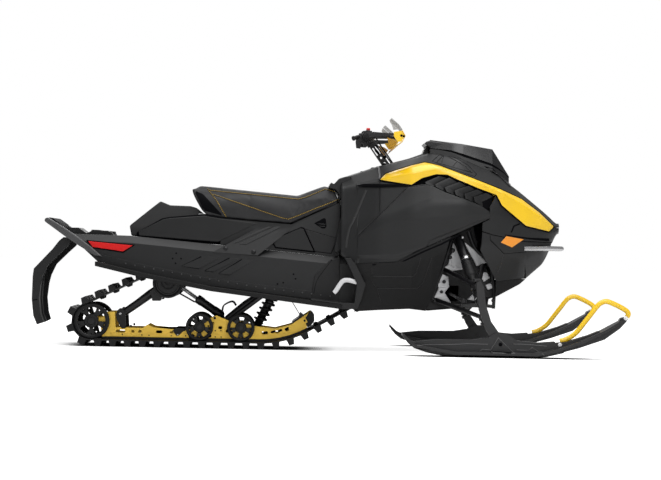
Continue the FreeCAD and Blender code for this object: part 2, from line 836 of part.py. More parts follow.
def make_seat(tunnel):
    """Storage hump behind the seat, the tank cover below it and the seat itself."""
    hump = [
        (-965, 544.6), (-975, 594), (-880, 675), (-828, 718), (-779, 699), (-678, 697),
        (-651, 689), (-611, 657), (-527, 641), (-527, 508.2),
    ]
    block = side_pad("hump_block", hump, "2 * sizes.cover_half_width")
    wide, slim = S["cover_half_width"], S["cover_top_half_width"]
    cross = [(-wide, 400), (-wide, 580), (-slim, 730), (slim, 730), (wide, 580), (wide, 400)]
    shape = front_pad("hump_cross", cross, -1100, -400)
    keep("tunnel_cover", boolean("Common", "hump", block, shape))

    gap = S["running_gap"]
    top = [(-526.5, 638), (-381, 628), (-180, 616), (-121, 645), (SEAT_FRONT, 729)]
    base = [(x, on_line(TUNNEL_TOP, x) + gap) for x in (-526.5, -7, SEAT_FRONT)]
    base_block = side_pad("base_block", top + list(reversed(base)), "2 * sizes.seat_base_half_width")
    brackets = []
    for side in (-1, 1):
        outer = TUNNEL_HALF + gap
        inner = S["seat_base_half_width"]
        rings = []
        for (xa, za), (xb, zb), y in (
            ((-563, 472), (-342, 460), outer),
            ((-320, 612), (-160, 612), inner - 12),
        ):
            thick = S["bracket_thickness"]
            rings.append([
                (xa, side * y, za), (xb, side * y, zb),
                (xb, side * (y + thick), zb), (xa, side * (y + thick), za),
            ])
        brackets.append(ruled(f"bracket{side}", rings))
    base = boolean("Fuse", "base_sum", base_block, *brackets)
    keep("seat_base", boolean("Cut", "base_form", base, tunnel))

    seat = [
        (-678, 793), (-597, 788), (-152, 751), (-12, 807), (39, 793), (SEAT_FRONT, 731),
        (SEAT_FRONT, 730), (-121, 646), (-180, 617), (-381, 629), (-527, 641.4), (-611, 657.5),
        (-651, 689.5), (-672, 760),
    ]
    block = side_pad("seat_block", seat, "2 * sizes.seat_half_width")
    wide, slim = S["seat_half_width"], S["seat_top_half_width"]
    cross = [
        (-wide, 560), (-wide, 690), (-wide + 12, 740), (-slim - 15, 780), (-slim, 812),
        (slim, 812), (slim + 15, 780), (wide - 12, 740), (wide, 690), (wide, 560),
    ]
    shape = front_pad("seat_cross", cross, -700, 80)
    keep("seat", boolean("Common", "seat_form", block, shape))


# ---------------------------------------------------------------- body shell
# Sections of the front body: x, then (height, half width) of belly, knee, side, shoulder, crest.
BODY_SECTIONS = [
    (60, (190, 215), (330, 300), (600, 262), (800, 190), (850, 110)),
    (240, (205, 240), (420, 335), (640, 330), (838, 265), (912, 120)),
    (400, (215, 250), (440, 345), (700, 350), (900, 285), (950, 135)),
    (500, (205, 250), (470, 345), (740, 350), (915, 285), (985, 150)),
    (650, (220, 235), (560, 325), (740, 335), (868, 285), (960, 160)),
    (820, (275, 200), (520, 280), (700, 290), (813, 262), (893, 140)),
    (950, (345, 170), (470, 228), (640, 245), (758, 212), (800, 120)),
    (1080, (455, 110), (520, 150), (600, 165), (664, 150), (700, 85)),
    (1115, (545, 85), (570, 118), (600, 128), (640, 118), (672, 65)),
    (1150, (612, 50), (618, 80), (624, 85), (634, 75), (640, 45)),
]
STRIPE_TOP = [
    (242, 838), (358, 905), (464, 930), (537, 913), (819, 813), (944, 763), (1038, 700), (1121, 630),
]
STRIPE_FOOT = [
    (1090, 605), (965, 630), (909, 672), (839, 727), (813, 776), (726, 805), (619, 846),
    (571, 868), (516, 869), (449, 849), (397, 815),
]
PANEL_TOP = [(379, 807), (473, 820), (505, 810), (778, 722), (790, 664)]
PANEL_FOOT = [(592, 572), (448, 505), (329, 442), (136, 431), (143, 562)]
NOSE_SEAM = [(745, 600), (800, 584), (963, 557), (1075, 554), (1250, 554)]
BAY = [(476, 150), (478, 199), (500, 244), (521, 295), (588, 566), (745, 642), (740, 505),
       (828, 355), (823, 150)]


def body_ring(section, grow):
    """Closed ring of one body section, moved outwards by grow."""
    x, *rows = section
    right = []
    for index, (z, y) in enumerate(rows):
        lift = -grow if index == 0 else grow if index == len(rows) - 1 else 0
        right.append((x, -max(y + grow, 10), z + lift))
    left = [(px, -py, pz) for px, py, pz in reversed(right)]
    return right + left


def body_loft(name, grow, first, last):
    """Loft of the body sections; grow moves the skin, first and last move its two ends."""
    rings = []
    for index, section in enumerate(BODY_SECTIONS):
        x = section[0]
        if index == 0:
            x += first
        if index == len(BODY_SECTIONS) - 1:
            x += last
        rings.append(body_ring((x, *section[1:]), grow))
    return ruled(name, rings)


def region(name, outline, low=-600.0, high=600.0, inset=True):
    """Crosswise prism over an outline of (x, z), drawn in by half the gap between panels."""
    wire = Part.makePolygon([Vector(x, 0, z) for x, z in outline + outline[:1]])
    face = Part.Face(wire)
    if inset:
        face = face.makeOffset2D(-S["panel_gap"] / 2, 2)
    face.translate(Vector(0, low, 0))
    block = doc.addObject("Part::Feature", name)
    block.Shape = face.extrude(Vector(0, high - low, 0))
    return block


def make_body():
    """Hollow front body, split into its panels where the real ones meet."""
    wall = S["shell_wall"]
    outer = body_loft("body_outer", 0, 0, 0)
    inner = body_loft("body_inner", -wall, -10, -wall)
    half = S["bay_half_width"]
    bays, rooms = [], []
    for side, low, high in (("right", -600, -half), ("left", half, 600)):
        bays.append(region(f"bay_{side}", BAY, low, high, False))
        grown = Part.Face(Part.makePolygon([Vector(x, 0, z) for x, z in BAY + BAY[:1]]))
        grown = grown.makeOffset2D(wall, 2)
        grown.translate(Vector(0, low, 0))
        room = doc.addObject("Part::Feature", f"bay_wall_{side}")
        room.Shape = grown.extrude(Vector(0, high - low, 0))
        rooms.append(room)
    hollow = boolean("Cut", "body_hollow", inner, *rooms)
    clear = 1.0
    over = [(-300, 200), (-300, on_line(TUNNEL_TOP, -300) + clear),
            (-7, 464 + clear), (250 + clear, 455 + clear), (250 + clear, 100), (-300, 100)]
    passage = side_pad("tunnel_passage", over, 2 * (TUNNEL_HALF + clear))
    shell = boolean("Cut", "body_shell", outer, *bays, hollow, passage)

    top = 1200
    regions = {
        "hood": STRIPE_TOP + [(1250, 625), (1250, top), (242, top)],
        "side_stripes": STRIPE_TOP + STRIPE_FOOT,
        "side_vents": [PANEL_TOP[0], (397, 815)] + STRIPE_FOOT[:3:-1][1:] + [(778, 722)]
        + [(505, 810), (473, 820)],
        "console": [(20, top), (242, top), (242, 838), (397, 815), (379, 807), (143, 562),
                    (136, 431), (126, 422), (84, 514), (76, 699), (20, 720)],
        "nose_upper": [(813, 776), (839, 727), (909, 672), (965, 630), (1090, 605), (1121, 630),
                       (1250, 625)] + NOSE_SEAM[::-1] + [(745, 642), (790, 664), (778, 722)],
        "nose_lower": [(745, 642)] + NOSE_SEAM + [(1250, 366), (940, 371), (828, 355), (740, 505)],
        "belly_pan": [(20, 100), (147, 209), (166, 258), (185, 331), (126, 422), (136, 431),
                      (329, 442), (448, 505), (592, 572), (588, 540), (521, 295), (828, 300),
                      (828, 355), (940, 371), (1250, 366), (1250, 100)],
    }
    for name, outline in regions.items():
        panel = boolean("Common", name + "_panel", shell, region(name + "_region", outline))
        if name == "side_vents":
            panel = boolean("Cut", name + "_form", panel, *make_louvres())
        keep(name, panel)
    for side, low, high in (("right", -600, -1), ("left", 1, 600)):
        cutter = region(f"panel_region_{side}", PANEL_TOP + PANEL_FOOT, low, high)
        keep(f"side_panel_{side}", boolean("Common", f"side_panel_{side}_form", shell, cutter))

    seat_face = body_loft("body_seat_face", S["running_gap"], -1, 1)
    skin = boolean("Cut", "skin", body_loft("body_skin", S["skin_rise"], 0, 0), seat_face)
    amber = [(840, 548), (868, 580), (958, 566), (899, 525)]
    lamp = [(759, 931), (809, 936), (873, 887), (902, 850), (899, 824), (848, 874)]
    for name, outline in (("reflectors_amber", amber), ("headlamps", lamp)):
        keep(name, boolean("Common", name + "_form", skin, region(name + "_region", outline)))
    inside = body_loft("bulkhead_limit", -wall - 0.3, 0, -20)
    block = region("bulkhead_block", BAY[1:-1] + [(823, 160)], -half + 0.3, half - 0.3, False)
    window = [(560, 255), (650, 255), (650, 330), (560, 330)]
    window = region("tie_rod_window", window, -half, half, False)
    keep("bulkhead", boolean("Cut", "bulkhead_form",
                             boolean("Common", "bulkhead_sum", block, inside), window))
    engine = region("engine_box", [(250.3, 250), (250.3, 440), (256, 700), (470, 700), (470, 250)],
                    -S["engine_half_width"], S["engine_half_width"], False)
    keep("engine_block", boolean("Common", "engine_form", engine, inside))
    return outer


def make_louvres():
    """Chevron slots through both side vents, between the stripe and the side panel."""
    margin = S["louvre_margin"]
    low_line = [PANEL_TOP[2], PANEL_TOP[3]]
    high_line = STRIPE_FOOT[:3:-1]
    slots = []
    for index in range(6):
        tip = 500 + index * S["louvre_pitch"]
        rise = on_line(high_line, tip) - on_line(low_line, tip)
        points = [
            (tip + 0.6 * rise, on_line(high_line, tip + 0.6 * rise) - margin),
            (tip, on_line(low_line, tip) + 0.42 * rise),
            (tip + 0.1 * rise, on_line(low_line, tip + 0.1 * rise) + margin),
        ]
        outline = points + [(x + S["louvre_slot"], z) for x, z in reversed(points)]
        slots.append(region(f"louvre{index}", outline, inset=False))
    return slots


def make_windshield(outer):
    """Low smoked visor on the crest of the hood."""
    crest = [(row[0], row[-1][0]) for row in BODY_SECTIONS]
    gap = S["running_gap"]
    rows = [
        # x, top height, half width at the top, half width at the foot
        (500, 1050, 105, 118),
        (656, 1033, 118, 135),
        (811, 1011, 92, 125),
        (900, 880, 60, 70),
    ]
    rings = []
    for x, high, slim, wide in rows:
        low = on_line(crest, x) + gap - 20
        rings.append([(x, -wide, low), (x, -slim, high), (x, slim, high), (x, wide, low)])
    visor = boolean("Cut", "visor_cut", ruled("visor", rings), outer, NODES["headlamps"])
    keep("windshield", largest("visor_form", visor))


# ---------------------------------------------------------------- front bumper
def make_front_bumper(outer):
    """Tube hoop round the nose."""
    path = [(960, -222, 521), (1080, -178, 524), (1164, -118, 524), (1164, 118, 524),
            (1080, 178, 524), (960, 222, 521)]
    tube = bent_tube("hoop", path, 40, S["front_tube_radius"])
    keep("front_bumper", boolean("Cut", "hoop_cut", tube, outer))


# ---------------------------------------------------------------- front suspension, right side
UPPER_BALL = (716, -430, 335)
LOWER_BALL = (742, -445, 185)
SKI_BOLT = (820, 63)
TIE_PIVOT = (648, -452, 262)
DAMPER_TOP = (640, -205, 566)
DAMPER_FOOT = (748, -372, 226)
# Front damper from its top: start and end as shares of its length, how much slimmer it is.
DAMPER_STEPS = [
    (0.00, 0.28, 5), (0.28, 0.32, 2), (0.32, 0.34, 0), (0.34, 0.36, 5), (0.36, 0.38, 0),
    (0.38, 0.40, 5), (0.40, 0.54, 1), (0.54, 0.56, 4), (0.56, 0.68, 7), (0.68, 0.71, 3),
    (0.71, 0.80, 12), (0.80, 0.83, 4), (0.83, 1.00, 10),
]


def along(point, direction, distance):
    """The point at a distance from another along a direction."""
    step = Vector(*direction).normalize() * distance
    return (point[0] + step.x, point[1] + step.y, point[2] + step.z)


KING = tuple(u - l for u, l in zip(UPPER_BALL, LOWER_BALL))


def a_arm(name, ball, rear, front):
    """A-arm of two tubes from the bulkhead to the eye round the kingpin."""
    legs = []
    for end, point in (("rear", rear), ("front", front)):
        legs.append(rod(f"{name}_{end}", point, ball, "a_arm_radius"))
    height = S["eye_height"]
    boss, bore = ring_of(
        name + "_eye", ball, KING, "sizes.eye_radius", "sizes.kingpin_radius + sizes.pin_gap", height
    )
    return boolean("Cut", name + "_form", boolean("Fuse", name + "_sum", boss, *legs), bore)


def make_front_suspension():
    """A-arms and dampers of both sides."""
    inner = -(S["bay_half_width"])
    upper = a_arm("upper_arm", UPPER_BALL, (577, inner, 411), (770, inner, 436))
    lower = a_arm("lower_arm", LOWER_BALL, (535, inner, 262), (790, inner, 268))
    upper = boolean("Cut", "upper_arm_seated", upper, NODES["bulkhead"], NODES["nose_lower"])
    lower = boolean("Cut", "lower_arm_seated", lower, NODES["bulkhead"], NODES["belly_pan"])
    axis = Vector(*DAMPER_FOOT) - Vector(*DAMPER_TOP)
    steps = []
    for index, (start, end, slimmer) in enumerate(DAMPER_STEPS):
        step = rod(f"damper_step{index}", along(DAMPER_TOP, axis, start * axis.Length),
                   along(DAMPER_TOP, axis, end * axis.Length), "front_damper_radius")
        step.setExpression("Radius", f"sizes.front_damper_radius - {slimmer}")
        steps.append(step)
    damper = boolean("Cut", "damper_cut", boolean("Fuse", "damper_sum", *steps), lower)
    keep("upper_arms", pair("upper_pair", upper))
    keep("lower_arms", pair("lower_pair", lower))
    keep("front_shocks", pair("damper_pair", damper))


def make_spindle():
    """Right-hand spindle: kingpin, knuckle, steering arm and the foot that holds the ski."""
    reach = S["eye_height"] / 2 + 2 * S["eye_clearance"]
    low = along(LOWER_BALL, KING, -reach - 14)
    high = along(UPPER_BALL, KING, reach + 14)
    pin = rod("kingpin", low, high, "kingpin_radius")
    centre = -S["ski_centre"]
    bolt_x, bolt_z = SKI_BOLT
    outline = [
        (700, 352), (722, 362), (738, 330), (748, 250), (775, 170), (838, 84), (844, 60),
        (832, 42), (808, 40), (796, 54), (752, 128), (722, 205), (706, 280),
    ]
    knuckle = side_pad("knuckle", outline, "sizes.spindle_thickness", centre)
    plate_in = centre + S["spindle_thickness"] / 2
    lugs = []
    for name, ball, sign in (("low", LOWER_BALL, -1), ("high", UPPER_BALL, 1)):
        a = along(ball, KING, sign * reach)
        b = along(ball, KING, sign * (reach + 14))
        rings = []
        for point in (a, b):
            x, y, z = point
            rings.append([(x - 16, y + 14, z), (x + 16, y + 14, z),
                          (x + 16, plate_in, z), (x - 16, plate_in, z)])
        lugs.append(ruled(f"lug_{name}", rings))
    base = along(TIE_PIVOT, KING, -S["tie_eye_height"] / 2 - S["eye_clearance"])
    foot = along(base, KING, -14)
    rings = []
    for x, y, z in (foot, base):
        rings.append([(x - 14, y + 14, z), (x + 14, y + 14, z), (735, plate_in, z),
                      (712, plate_in - 8, z), (x - 14, y - 16, z)])
    arm = ruled("steer_arm", rings)
    tie_pin = rod("tie_pin", base, along(TIE_PIVOT, KING, S["tie_eye_height"] / 2 + 6), "tie_pin_radius")
    bore = doc.addObject("Part::Cylinder", "ski_bolt_bore")
    bore.setExpression("Radius", "sizes.ski_bolt_radius + sizes.pin_gap")
    bore.Height = 120
    start = Vector(bolt_x, centre + 60, bolt_z)
    bore.Placement = Placement(start, Rotation(Vector(0, 0, 1), Vector(0, -1, 0)))
    form = boolean("Fuse", "spindle_sum", knuckle, *lugs, pin, arm, tie_pin)
    return boolean("Cut", "spindle_form", form, bore)


SKI_FOOT = [(352, 97), (410, 44), (600, 12), (990, 12), (1084, 32), (1206, 76), (1308, 124),
            (1425, 192)]
SKI_RIB = [(420, 70), (507, 80), (692, 83), (763, 95), (795, 115), (845, 115), (898, 82),
           (1001, 74), (1093, 82), (1206, 118), (1290, 150)]


def make_ski():
    """Right-hand ski: plate, central rib with its saddle, runner and saddle bolt."""
    centre = -S["ski_centre"]
    plate = S["ski_plate"]
    foot = SKI_FOOT
    outline = foot + [(x, z + plate) for x, z in reversed(foot)]
    side = side_pad("ski_plate_side", outline, "sizes.ski_width", centre)
    half = S["ski_width"] / 2
    plan = [(340, -18), (400, -half + 12), (520, -half), (1200, -half), (1340, -half + 22),
            (1430, -22), (1430, 22), (1340, half - 22), (1200, half), (520, half),
            (400, half - 12), (340, 18)]
    shape = plan_pad("ski_plate_plan", [(x, centre + y) for x, y in plan], -10, 300)
    board = boolean("Common", "ski_board", side, shape)
    under = [(x, z + 5) for x, z in foot[1:-1]]
    rib = side_pad("ski_rib", SKI_RIB + [(1290, 122)] + under[::-1][1:] + [(420, 48)],
                   "sizes.ski_rib_width", centre)
    slot = doc.addObject("Part::Box", "ski_slot")
    slot.Length = 150
    slot.setExpression("Width", "sizes.ski_rib_width - 2 * sizes.saddle_wall")
    slot.Height = 120
    slot.Placement = Placement(
        Vector(735, centre - (S["ski_rib_width"] / 2 - S["saddle_wall"]), 30), Rotation()
    )
    rib = boolean("Cut", "ski_rib_slotted", rib, slot)
    bolt_half = S["ski_rib_width"] / 2 + 6
    bolt = rod("ski_bolt", (SKI_BOLT[0], centre - bolt_half, SKI_BOLT[1]),
               (SKI_BOLT[0], centre + bolt_half, SKI_BOLT[1]), "ski_bolt_radius")
    runner = side_pad(
        "runner",
        [(560, 20), (600, 0), (980, 0), (1060, 26), (1060, 30), (560, 30)],
        "sizes.runner_width", centre,
    )
    return boolean("Fuse", "ski_form", board, rib, bolt, runner)


def make_corners():
    """Spindles, skis, ski loops and tie rods of both sides."""
    spindle = make_spindle()
    ski = make_ski()
    centre = -S["ski_centre"]
    loop = bent_tube(
        "loop",
        [(1110, centre, 84), (1201, centre, 145), (1282, centre, 262), (1324, centre, 284),
         (1428, centre, 238), (1424, centre, 190)],
        16, S["loop_radius"],
    )
    loop = boolean("Cut", "loop_cut", loop, ski)
    height = S["tie_eye_height"]
    boss, bore = ring_of(
        "tie_eye", TIE_PIVOT, KING, "sizes.tie_eye_radius", "sizes.tie_pin_radius + sizes.pin_gap",
        height,
    )
    rod_end = (604, -115, 296)
    shank = rod("tie_shank", rod_end, TIE_PIVOT, "tie_rod_radius")
    tie = boolean("Cut", "tie_form", boolean("Fuse", "tie_sum", boss, shank), bore)
    for name, thing in (("spindle", spindle), ("ski", ski), ("ski_loop", loop), ("tie_rod", tie)):
        keep(f"{name}_right", thing)
        keep(f"{name}_left", mirrored(f"{name}_twin", thing))


# ---------------------------------------------------------------- steering
POST_FOOT = (330, 0, 866)
POST_TOP = (204, 0, 1044)




def post_point(up, ahead, y=0.0):
    """Point beside the steering post: up along it from its foot, and ahead of it."""
    rise = (Vector(*POST_TOP) - Vector(*POST_FOOT)).normalize()
    front = Vector(rise.z, 0, -rise.x)
    point = Vector(*POST_FOOT) + rise * up + front * ahead
    return (point.x, y, point.z)


def flat_pad(name, outline, width, centre):
    """A plate padded sideways from an outline of (up, ahead) beside the post."""
    side = [post_point(up, ahead) for up, ahead in outline]
    return side_pad(name, [(x, z) for x, _, z in side], width, centre)


def make_riser(bar):
    """Steering post with two slotted side plates that carry the bar's clamp."""
    post = rod("post", POST_FOOT, post_point(100, 0), "post_radius")
    wide = S["riser_half_width"]
    outline = [(62, -wide + 6), (70, -wide), (200, -wide), (206, -wide + 6),
               (206, wide - 6), (200, wide), (70, wide), (62, wide - 6)]
    plates = []
    for side in (-1, 1):
        plates.append(flat_pad(f"riser_plate{side}", outline, "sizes.riser_plate",
                               side * S["riser_spread"]))
    clamp = flat_pad("bar_clamp", [(192, -24), (234, -24), (234, 24), (192, 24)],
                     2 * S["riser_spread"] + 4, 0)
    cuts = []
    reach = S["riser_spread"] + S["riser_plate"]
    for up in (84, 116):
        x, _, z = post_point(up, 0)
        hole = rod(f"riser_hole{up}", (x, -reach, z), (x, reach, z), "riser_hole")
        cuts.append(hole)
    half = S["riser_slot"] / 2
    for ahead in (-8, 8):
        slot = [(136, ahead - half), (180, ahead - half), (180, ahead + half), (136, ahead + half)]
        cuts.append(flat_pad(f"riser_slot{ahead}", slot, 2 * reach, 0))
    form = boolean("Fuse", "riser_sum", post, *plates, clamp)
    keep("steering_post", boolean("Cut", "riser_form", form, *cuts, bar))


def cable(name, points, radius):
    """A cable along straight runs joined by arcs as large as the runs allow."""
    points = [Vector(*point) for point in points]
    edges, last = [], points[0]
    for before, corner, after in zip(points, points[1:], points[2:]):
        back, ahead = before - corner, after - corner
        half = back.getAngle(ahead) / 2
        reach = 0.45 * min(back.Length, ahead.Length)
        bend = reach * math.tan(half)
        back.normalize()
        ahead.normalize()
        inward = (back + ahead).normalize()
        centre = corner + inward * (bend / math.sin(half))
        start, end = corner + back * reach, corner + ahead * reach
        edges.append(Part.LineSegment(last, start).toShape())
        edges.append(Part.Arc(start, centre - inward * bend, end).toShape())
        last = end
        print(f"{name}: bend radius {bend:.0f}")
    edges.append(Part.LineSegment(last, points[-1]).toShape())
    section = Part.Wire(Part.makeCircle(radius, points[0], points[1] - points[0]))
    line = doc.addObject("Part::Feature", name)
    line.Shape = Part.Wire(edges).makePipeShell([section], True, False)
    return line


def make_bar_cables():
    """Throttle and brake cables from the control blocks down into the steering well."""
    lines = []
    for side, ahead in ((-1, S["cable_reach"]), (1, S["cable_reach"] - 5)):
        route = [
            (218, side * 198.7, 1053), (230, side * 146, 1048), (246, side * 98, 1031),
            (266, side * 54, 1006), post_point(112, ahead, side * 20),
            post_point(72, ahead, side * 11), post_point(34, ahead, side * 10),
        ]
        lines.append(cable(f"bar_cable{side}", route, S["cable_radius"]))
    keep("bar_cables", group("bar_cable_pair", *lines))


def make_steering():
    """Post, handlebar, grips, controls, hand guards and their shields."""
    half = S["bar_half_width"]
    route = [(178, -half, 1050), (196, -215, 1052), (212, -110, 1046), (212, 110, 1046),
             (196, 215, 1052), (178, half, 1050)]
    bar = bent_tube("bar", route, 60, S["bar_radius"])
    keep("handlebar", bar)
    make_riser(bar)
    outer = Vector(178, -half, 1050)
    inward = (Vector(196, -215, 1052) - outer).normalize()
    end = outer + inward * S["grip_length"]
    boss = rod("grip_tube", tuple(outer), tuple(end), "grip_radius")
    grip = boolean("Cut", "grip_form", boss, bar)
    keep("grips", pair("grip_pair", grip))
    near = outer + inward * (S["grip_length"] + 6)
    far = outer + inward * (S["grip_length"] + 44)
    block = rod("switch_block", tuple(near), tuple(far), "grip_radius")
    block.setExpression("Radius", "sizes.grip_radius + 7")
    lever = ruled("lever", [
        [(150, near.y + 4, 1046), (176, near.y + 4, 1046), (176, far.y - 4, 1046), (150, far.y - 4, 1046)],
        [(116, near.y - 30, 1000), (124, near.y - 30, 1000), (124, far.y - 12, 1000), (116, far.y - 12, 1000)],
    ])
    block = boolean("Cut", "control_form", boolean("Fuse", "control_sum", block, lever), bar, grip)
    keep("bar_controls", pair("control_pair", block))
    wall = S["guard_wall"]
    gap = S["running_gap"]
    face = [(296, 984), (345, 1022), (361, 1052), (345, 1080)]
    back = [(x - wall, z + 1) for x, z in reversed(face)]
    stay_width = 8
    y = (-half - gap - stay_width, -190)
    guard = side_pad("guard_face", face + back, y[1] - y[0], (y[0] + y[1]) / 2)
    arm = [(178, 1062), (300, 1066), (350, 1066), (350, 1048), (300, 1046), (178, 1038)]
    stay = side_pad("guard_stay", arm, stay_width, y[0] + stay_width / 2)
    guard = boolean("Cut", "guard_form", boolean("Fuse", "guard_sum", guard, stay), bar, grip)
    keep("hand_guards", pair("guard_pair", guard))
    high = [(345, 1080 + 1 + gap), (328, 1106), (291, 1138)]
    low = [(x - S["shield_wall"], z - 1) for x, z in reversed(high)]
    low[-1] = (340, 1080 + 1 + gap)
    shield = side_pad("shield_face", high + low, y[1] - y[0] - 20, (y[0] + y[1]) / 2)
    keep("guard_shields", pair("shield_pair", shield))


def make_steering_well():
    """Round well in the hood round the post, with the bearing collar on its floor."""
    hole = rod("well_hole", post_point(10, 0), post_point(160, 0), "well_radius")
    wall = rod("well_wall", post_point(12, 0), post_point(150, 0), "well_radius")
    wall.setExpression("Radius", "sizes.well_radius - sizes.running_gap")
    room = rod("well_room", post_point(18, 0), post_point(160, 0), "well_radius")
    room.setExpression("Radius", "sizes.well_radius - sizes.well_wall")
    collar = rod("well_collar", post_point(12, 0), post_point(30, 0), "post_radius")
    collar.setExpression("Radius", "sizes.post_radius + 6")
    bore = rod("well_bore", post_point(0, 0), post_point(60, 0), "post_radius")
    bore.setExpression("Radius", "sizes.post_radius + sizes.pin_gap")
    cup = boolean("Fuse", "well_sum", boolean("Cut", "well_shell_cut", wall, room), collar)
    cup = boolean("Cut", "well_bored", cup, bore)
    limit = body_loft("well_limit", S["skin_rise"], 0, 0)
    keep("column_bearing", boolean("Common", "well_form", cup, limit))
    for name in ("hood", "console"):
        panel = NODES[name]
        panel.Label = name + "_whole"
        keep(name, boolean("Cut", name + "_opened", panel, hole))


def make_gauge():
    """Instrument box under the rear edge of the visor, its screen towards the rider."""
    box = [(436, 962), (452, 1022), (470, 1030), (497, 1030), (497, 962)]
    half = 58
    body = side_pad("gauge_box", box, 2 * half)
    screen = [(439.5, 976), (436.5, 977), (447.5, 1016), (450.5, 1015)]
    screen = side_pad("gauge_screen", screen, 2 * (half - 10))
    keep("gauge", boolean("Cut", "gauge_form", boolean("Cut", "gauge_cut", body, screen),
                          NODES["hood"], NODES["windshield"], body_block))


# ---------------------------------------------------------------- skid dampers
def make_skid_dampers():
    """Dampers between the skid arms and the rails, and the limiter strap."""
    inside = S["rail_centre"] - S["rail_thickness"] / 2
    shafts = cross_tube("front_damper_shaft", FRONT_DAMPER_FOOT, inside)
    front = rod("front_skid_damper", (FRONT_DAMPER_FOOT[0], 0, FRONT_DAMPER_FOOT[1]),
                (FRONT_ARM_TOP[0], 0, FRONT_ARM_TOP[1]), "damper_radius")
    front = boolean("Cut", "front_skid_damper_cut", front, NODES["front_arm"])
    front = boolean("Fuse", "front_skid_damper_sum", front, shafts)
    slope = (FRONT_ARM_FOOT[0] - CARRIER[0], 0, FRONT_ARM_FOOT[1] - CARRIER[1])
    head = along((CARRIER[0], 0, CARRIER[1]), slope, S["carrier_axle_radius"] + 3)
    rear = rod("rear_skid_damper", head,
               (FRONT_ARM_FOOT[0], 0, FRONT_ARM_FOOT[1]), "damper_radius")
    rear = boolean("Cut", "rear_skid_damper_cut", rear, NODES["front_arm"], NODES["rear_arm"])
    keep("skid_shocks", group("skid_damper_set", front, rear))
    half = S["strap_width"] / 2
    thick = S["strap_thickness"]
    rings = []
    for x, z in (FRONT_ARM_TOP, STRAP_FOOT):
        rings.append([(x, -half, z), (x + thick, -half, z), (x + thick, half, z), (x, half, z)])
    strap = ruled("strap", rings)
    shaft = cross_tube("strap_shaft", STRAP_FOOT, inside)
    keep("limiter_strap", boolean("Fuse", "strap_sum",
                                  boolean("Cut", "strap_cut", strap, NODES["front_arm"], front), shaft))


make_track()
make_wheels()
make_rails()
make_skid_arms()
make_skid_dampers()
tunnel_block = make_tunnel()
body_block = make_body()
make_boards(body_block)
make_tail()
make_seat(tunnel_block)
make_windshield(body_block)
make_front_bumper(body_block)
make_front_suspension()
make_corners()
make_steering()
make_bar_cables()
make_steering_well()
make_gauge()
doc.recompute()

# ---------------------------------------------------------------- checks and export
failed = False
for thing in doc.Objects:
    if "Invalid" in thing.State or "Error" in thing.State:
        print(f"{thing.Name} failed: {thing.State}")
        failed = True
if failed:
    raise SystemExit(1)
for label, thing in NODES.items():
    if thing.Shape.isNull() or not thing.Shape.isValid() or not thing.Shape.Solids:
        print(f"{label} has no valid shape")
        failed = True
if failed:
    raise SystemExit(1)
os.makedirs("parts", exist_ok=True)
for label, thing in NODES.items():
    thing.Shape.exportStep(f"parts/{label}.step")
    print(f"{label:20s} {len(thing.Shape.Solids)} solids {thing.Shape.Volume / 1000:10.1f} cm3")
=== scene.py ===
# %% [markdown]
# # A trail snowmobile, dressed around its construction
# The construction arrives as a fixed frame: every rigid piece at its real size, in metres,
# +X forward, +Y to the rider's left, +Z up, with the origin on the ground. This script gives
# each piece its finish and builds the pieces whose look needs more than the construction
# holds: body panels, padded seat, track, wheels, springs, stitching and fastenings.

# %% Load the frame
import json
import math
from contextlib import contextmanager
import bmesh
import bpy
import numpy as np
from mathutils import Matrix, Vector
from mathutils.bvhtree import BVHTree


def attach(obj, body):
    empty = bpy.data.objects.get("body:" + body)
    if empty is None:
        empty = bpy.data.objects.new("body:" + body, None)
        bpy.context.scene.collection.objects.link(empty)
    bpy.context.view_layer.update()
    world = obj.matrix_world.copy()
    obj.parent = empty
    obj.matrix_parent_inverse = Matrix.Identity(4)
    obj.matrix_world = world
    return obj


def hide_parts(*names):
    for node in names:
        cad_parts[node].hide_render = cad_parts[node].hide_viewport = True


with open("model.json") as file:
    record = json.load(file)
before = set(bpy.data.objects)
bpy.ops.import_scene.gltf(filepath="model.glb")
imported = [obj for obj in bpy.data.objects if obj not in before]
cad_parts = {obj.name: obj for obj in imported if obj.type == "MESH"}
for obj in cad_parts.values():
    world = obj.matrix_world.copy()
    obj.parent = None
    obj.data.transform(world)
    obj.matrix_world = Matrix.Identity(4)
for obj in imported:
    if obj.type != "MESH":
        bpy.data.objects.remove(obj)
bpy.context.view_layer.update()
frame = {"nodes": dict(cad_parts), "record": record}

# %% [markdown]
# ## A small language for materials
# A procedural finish is arithmetic on patterns: noise times strength plus a base. Wiring Math
# nodes by hand hides that arithmetic, so one class wraps a socket and gives it the ordinary
# operators. One method makes any other node from its type, its settings and its inputs.

# %% Shader values and paints
class Value:
    """A socket of a node tree; an expression on values adds the Math nodes it needs."""

    def __init__(self, paint, socket):
        self.paint, self.socket = paint, socket

    def math(self, operation, *others):
        inputs = dict(enumerate((self, *others)))
        return self.paint.node("ShaderNodeMath", {"operation": operation}, inputs)

    def __add__(self, other): return self.math("ADD", other)
    def __radd__(self, other): return self.math("ADD", other)
    def __sub__(self, other): return self.math("SUBTRACT", other)
    def __rsub__(self, other): return self * -1 + other
    def __mul__(self, other): return self.math("MULTIPLY", other)
    def __rmul__(self, other): return self.math("MULTIPLY", other)
    def __truediv__(self, other): return self.math("DIVIDE", other)

    def between(self, low, high):
        """0 below low, 1 above high, straight in between."""
        return ((self - low) / (high - low)).math("MAXIMUM", 0).math("MINIMUM", 1)


PAINTS = {}


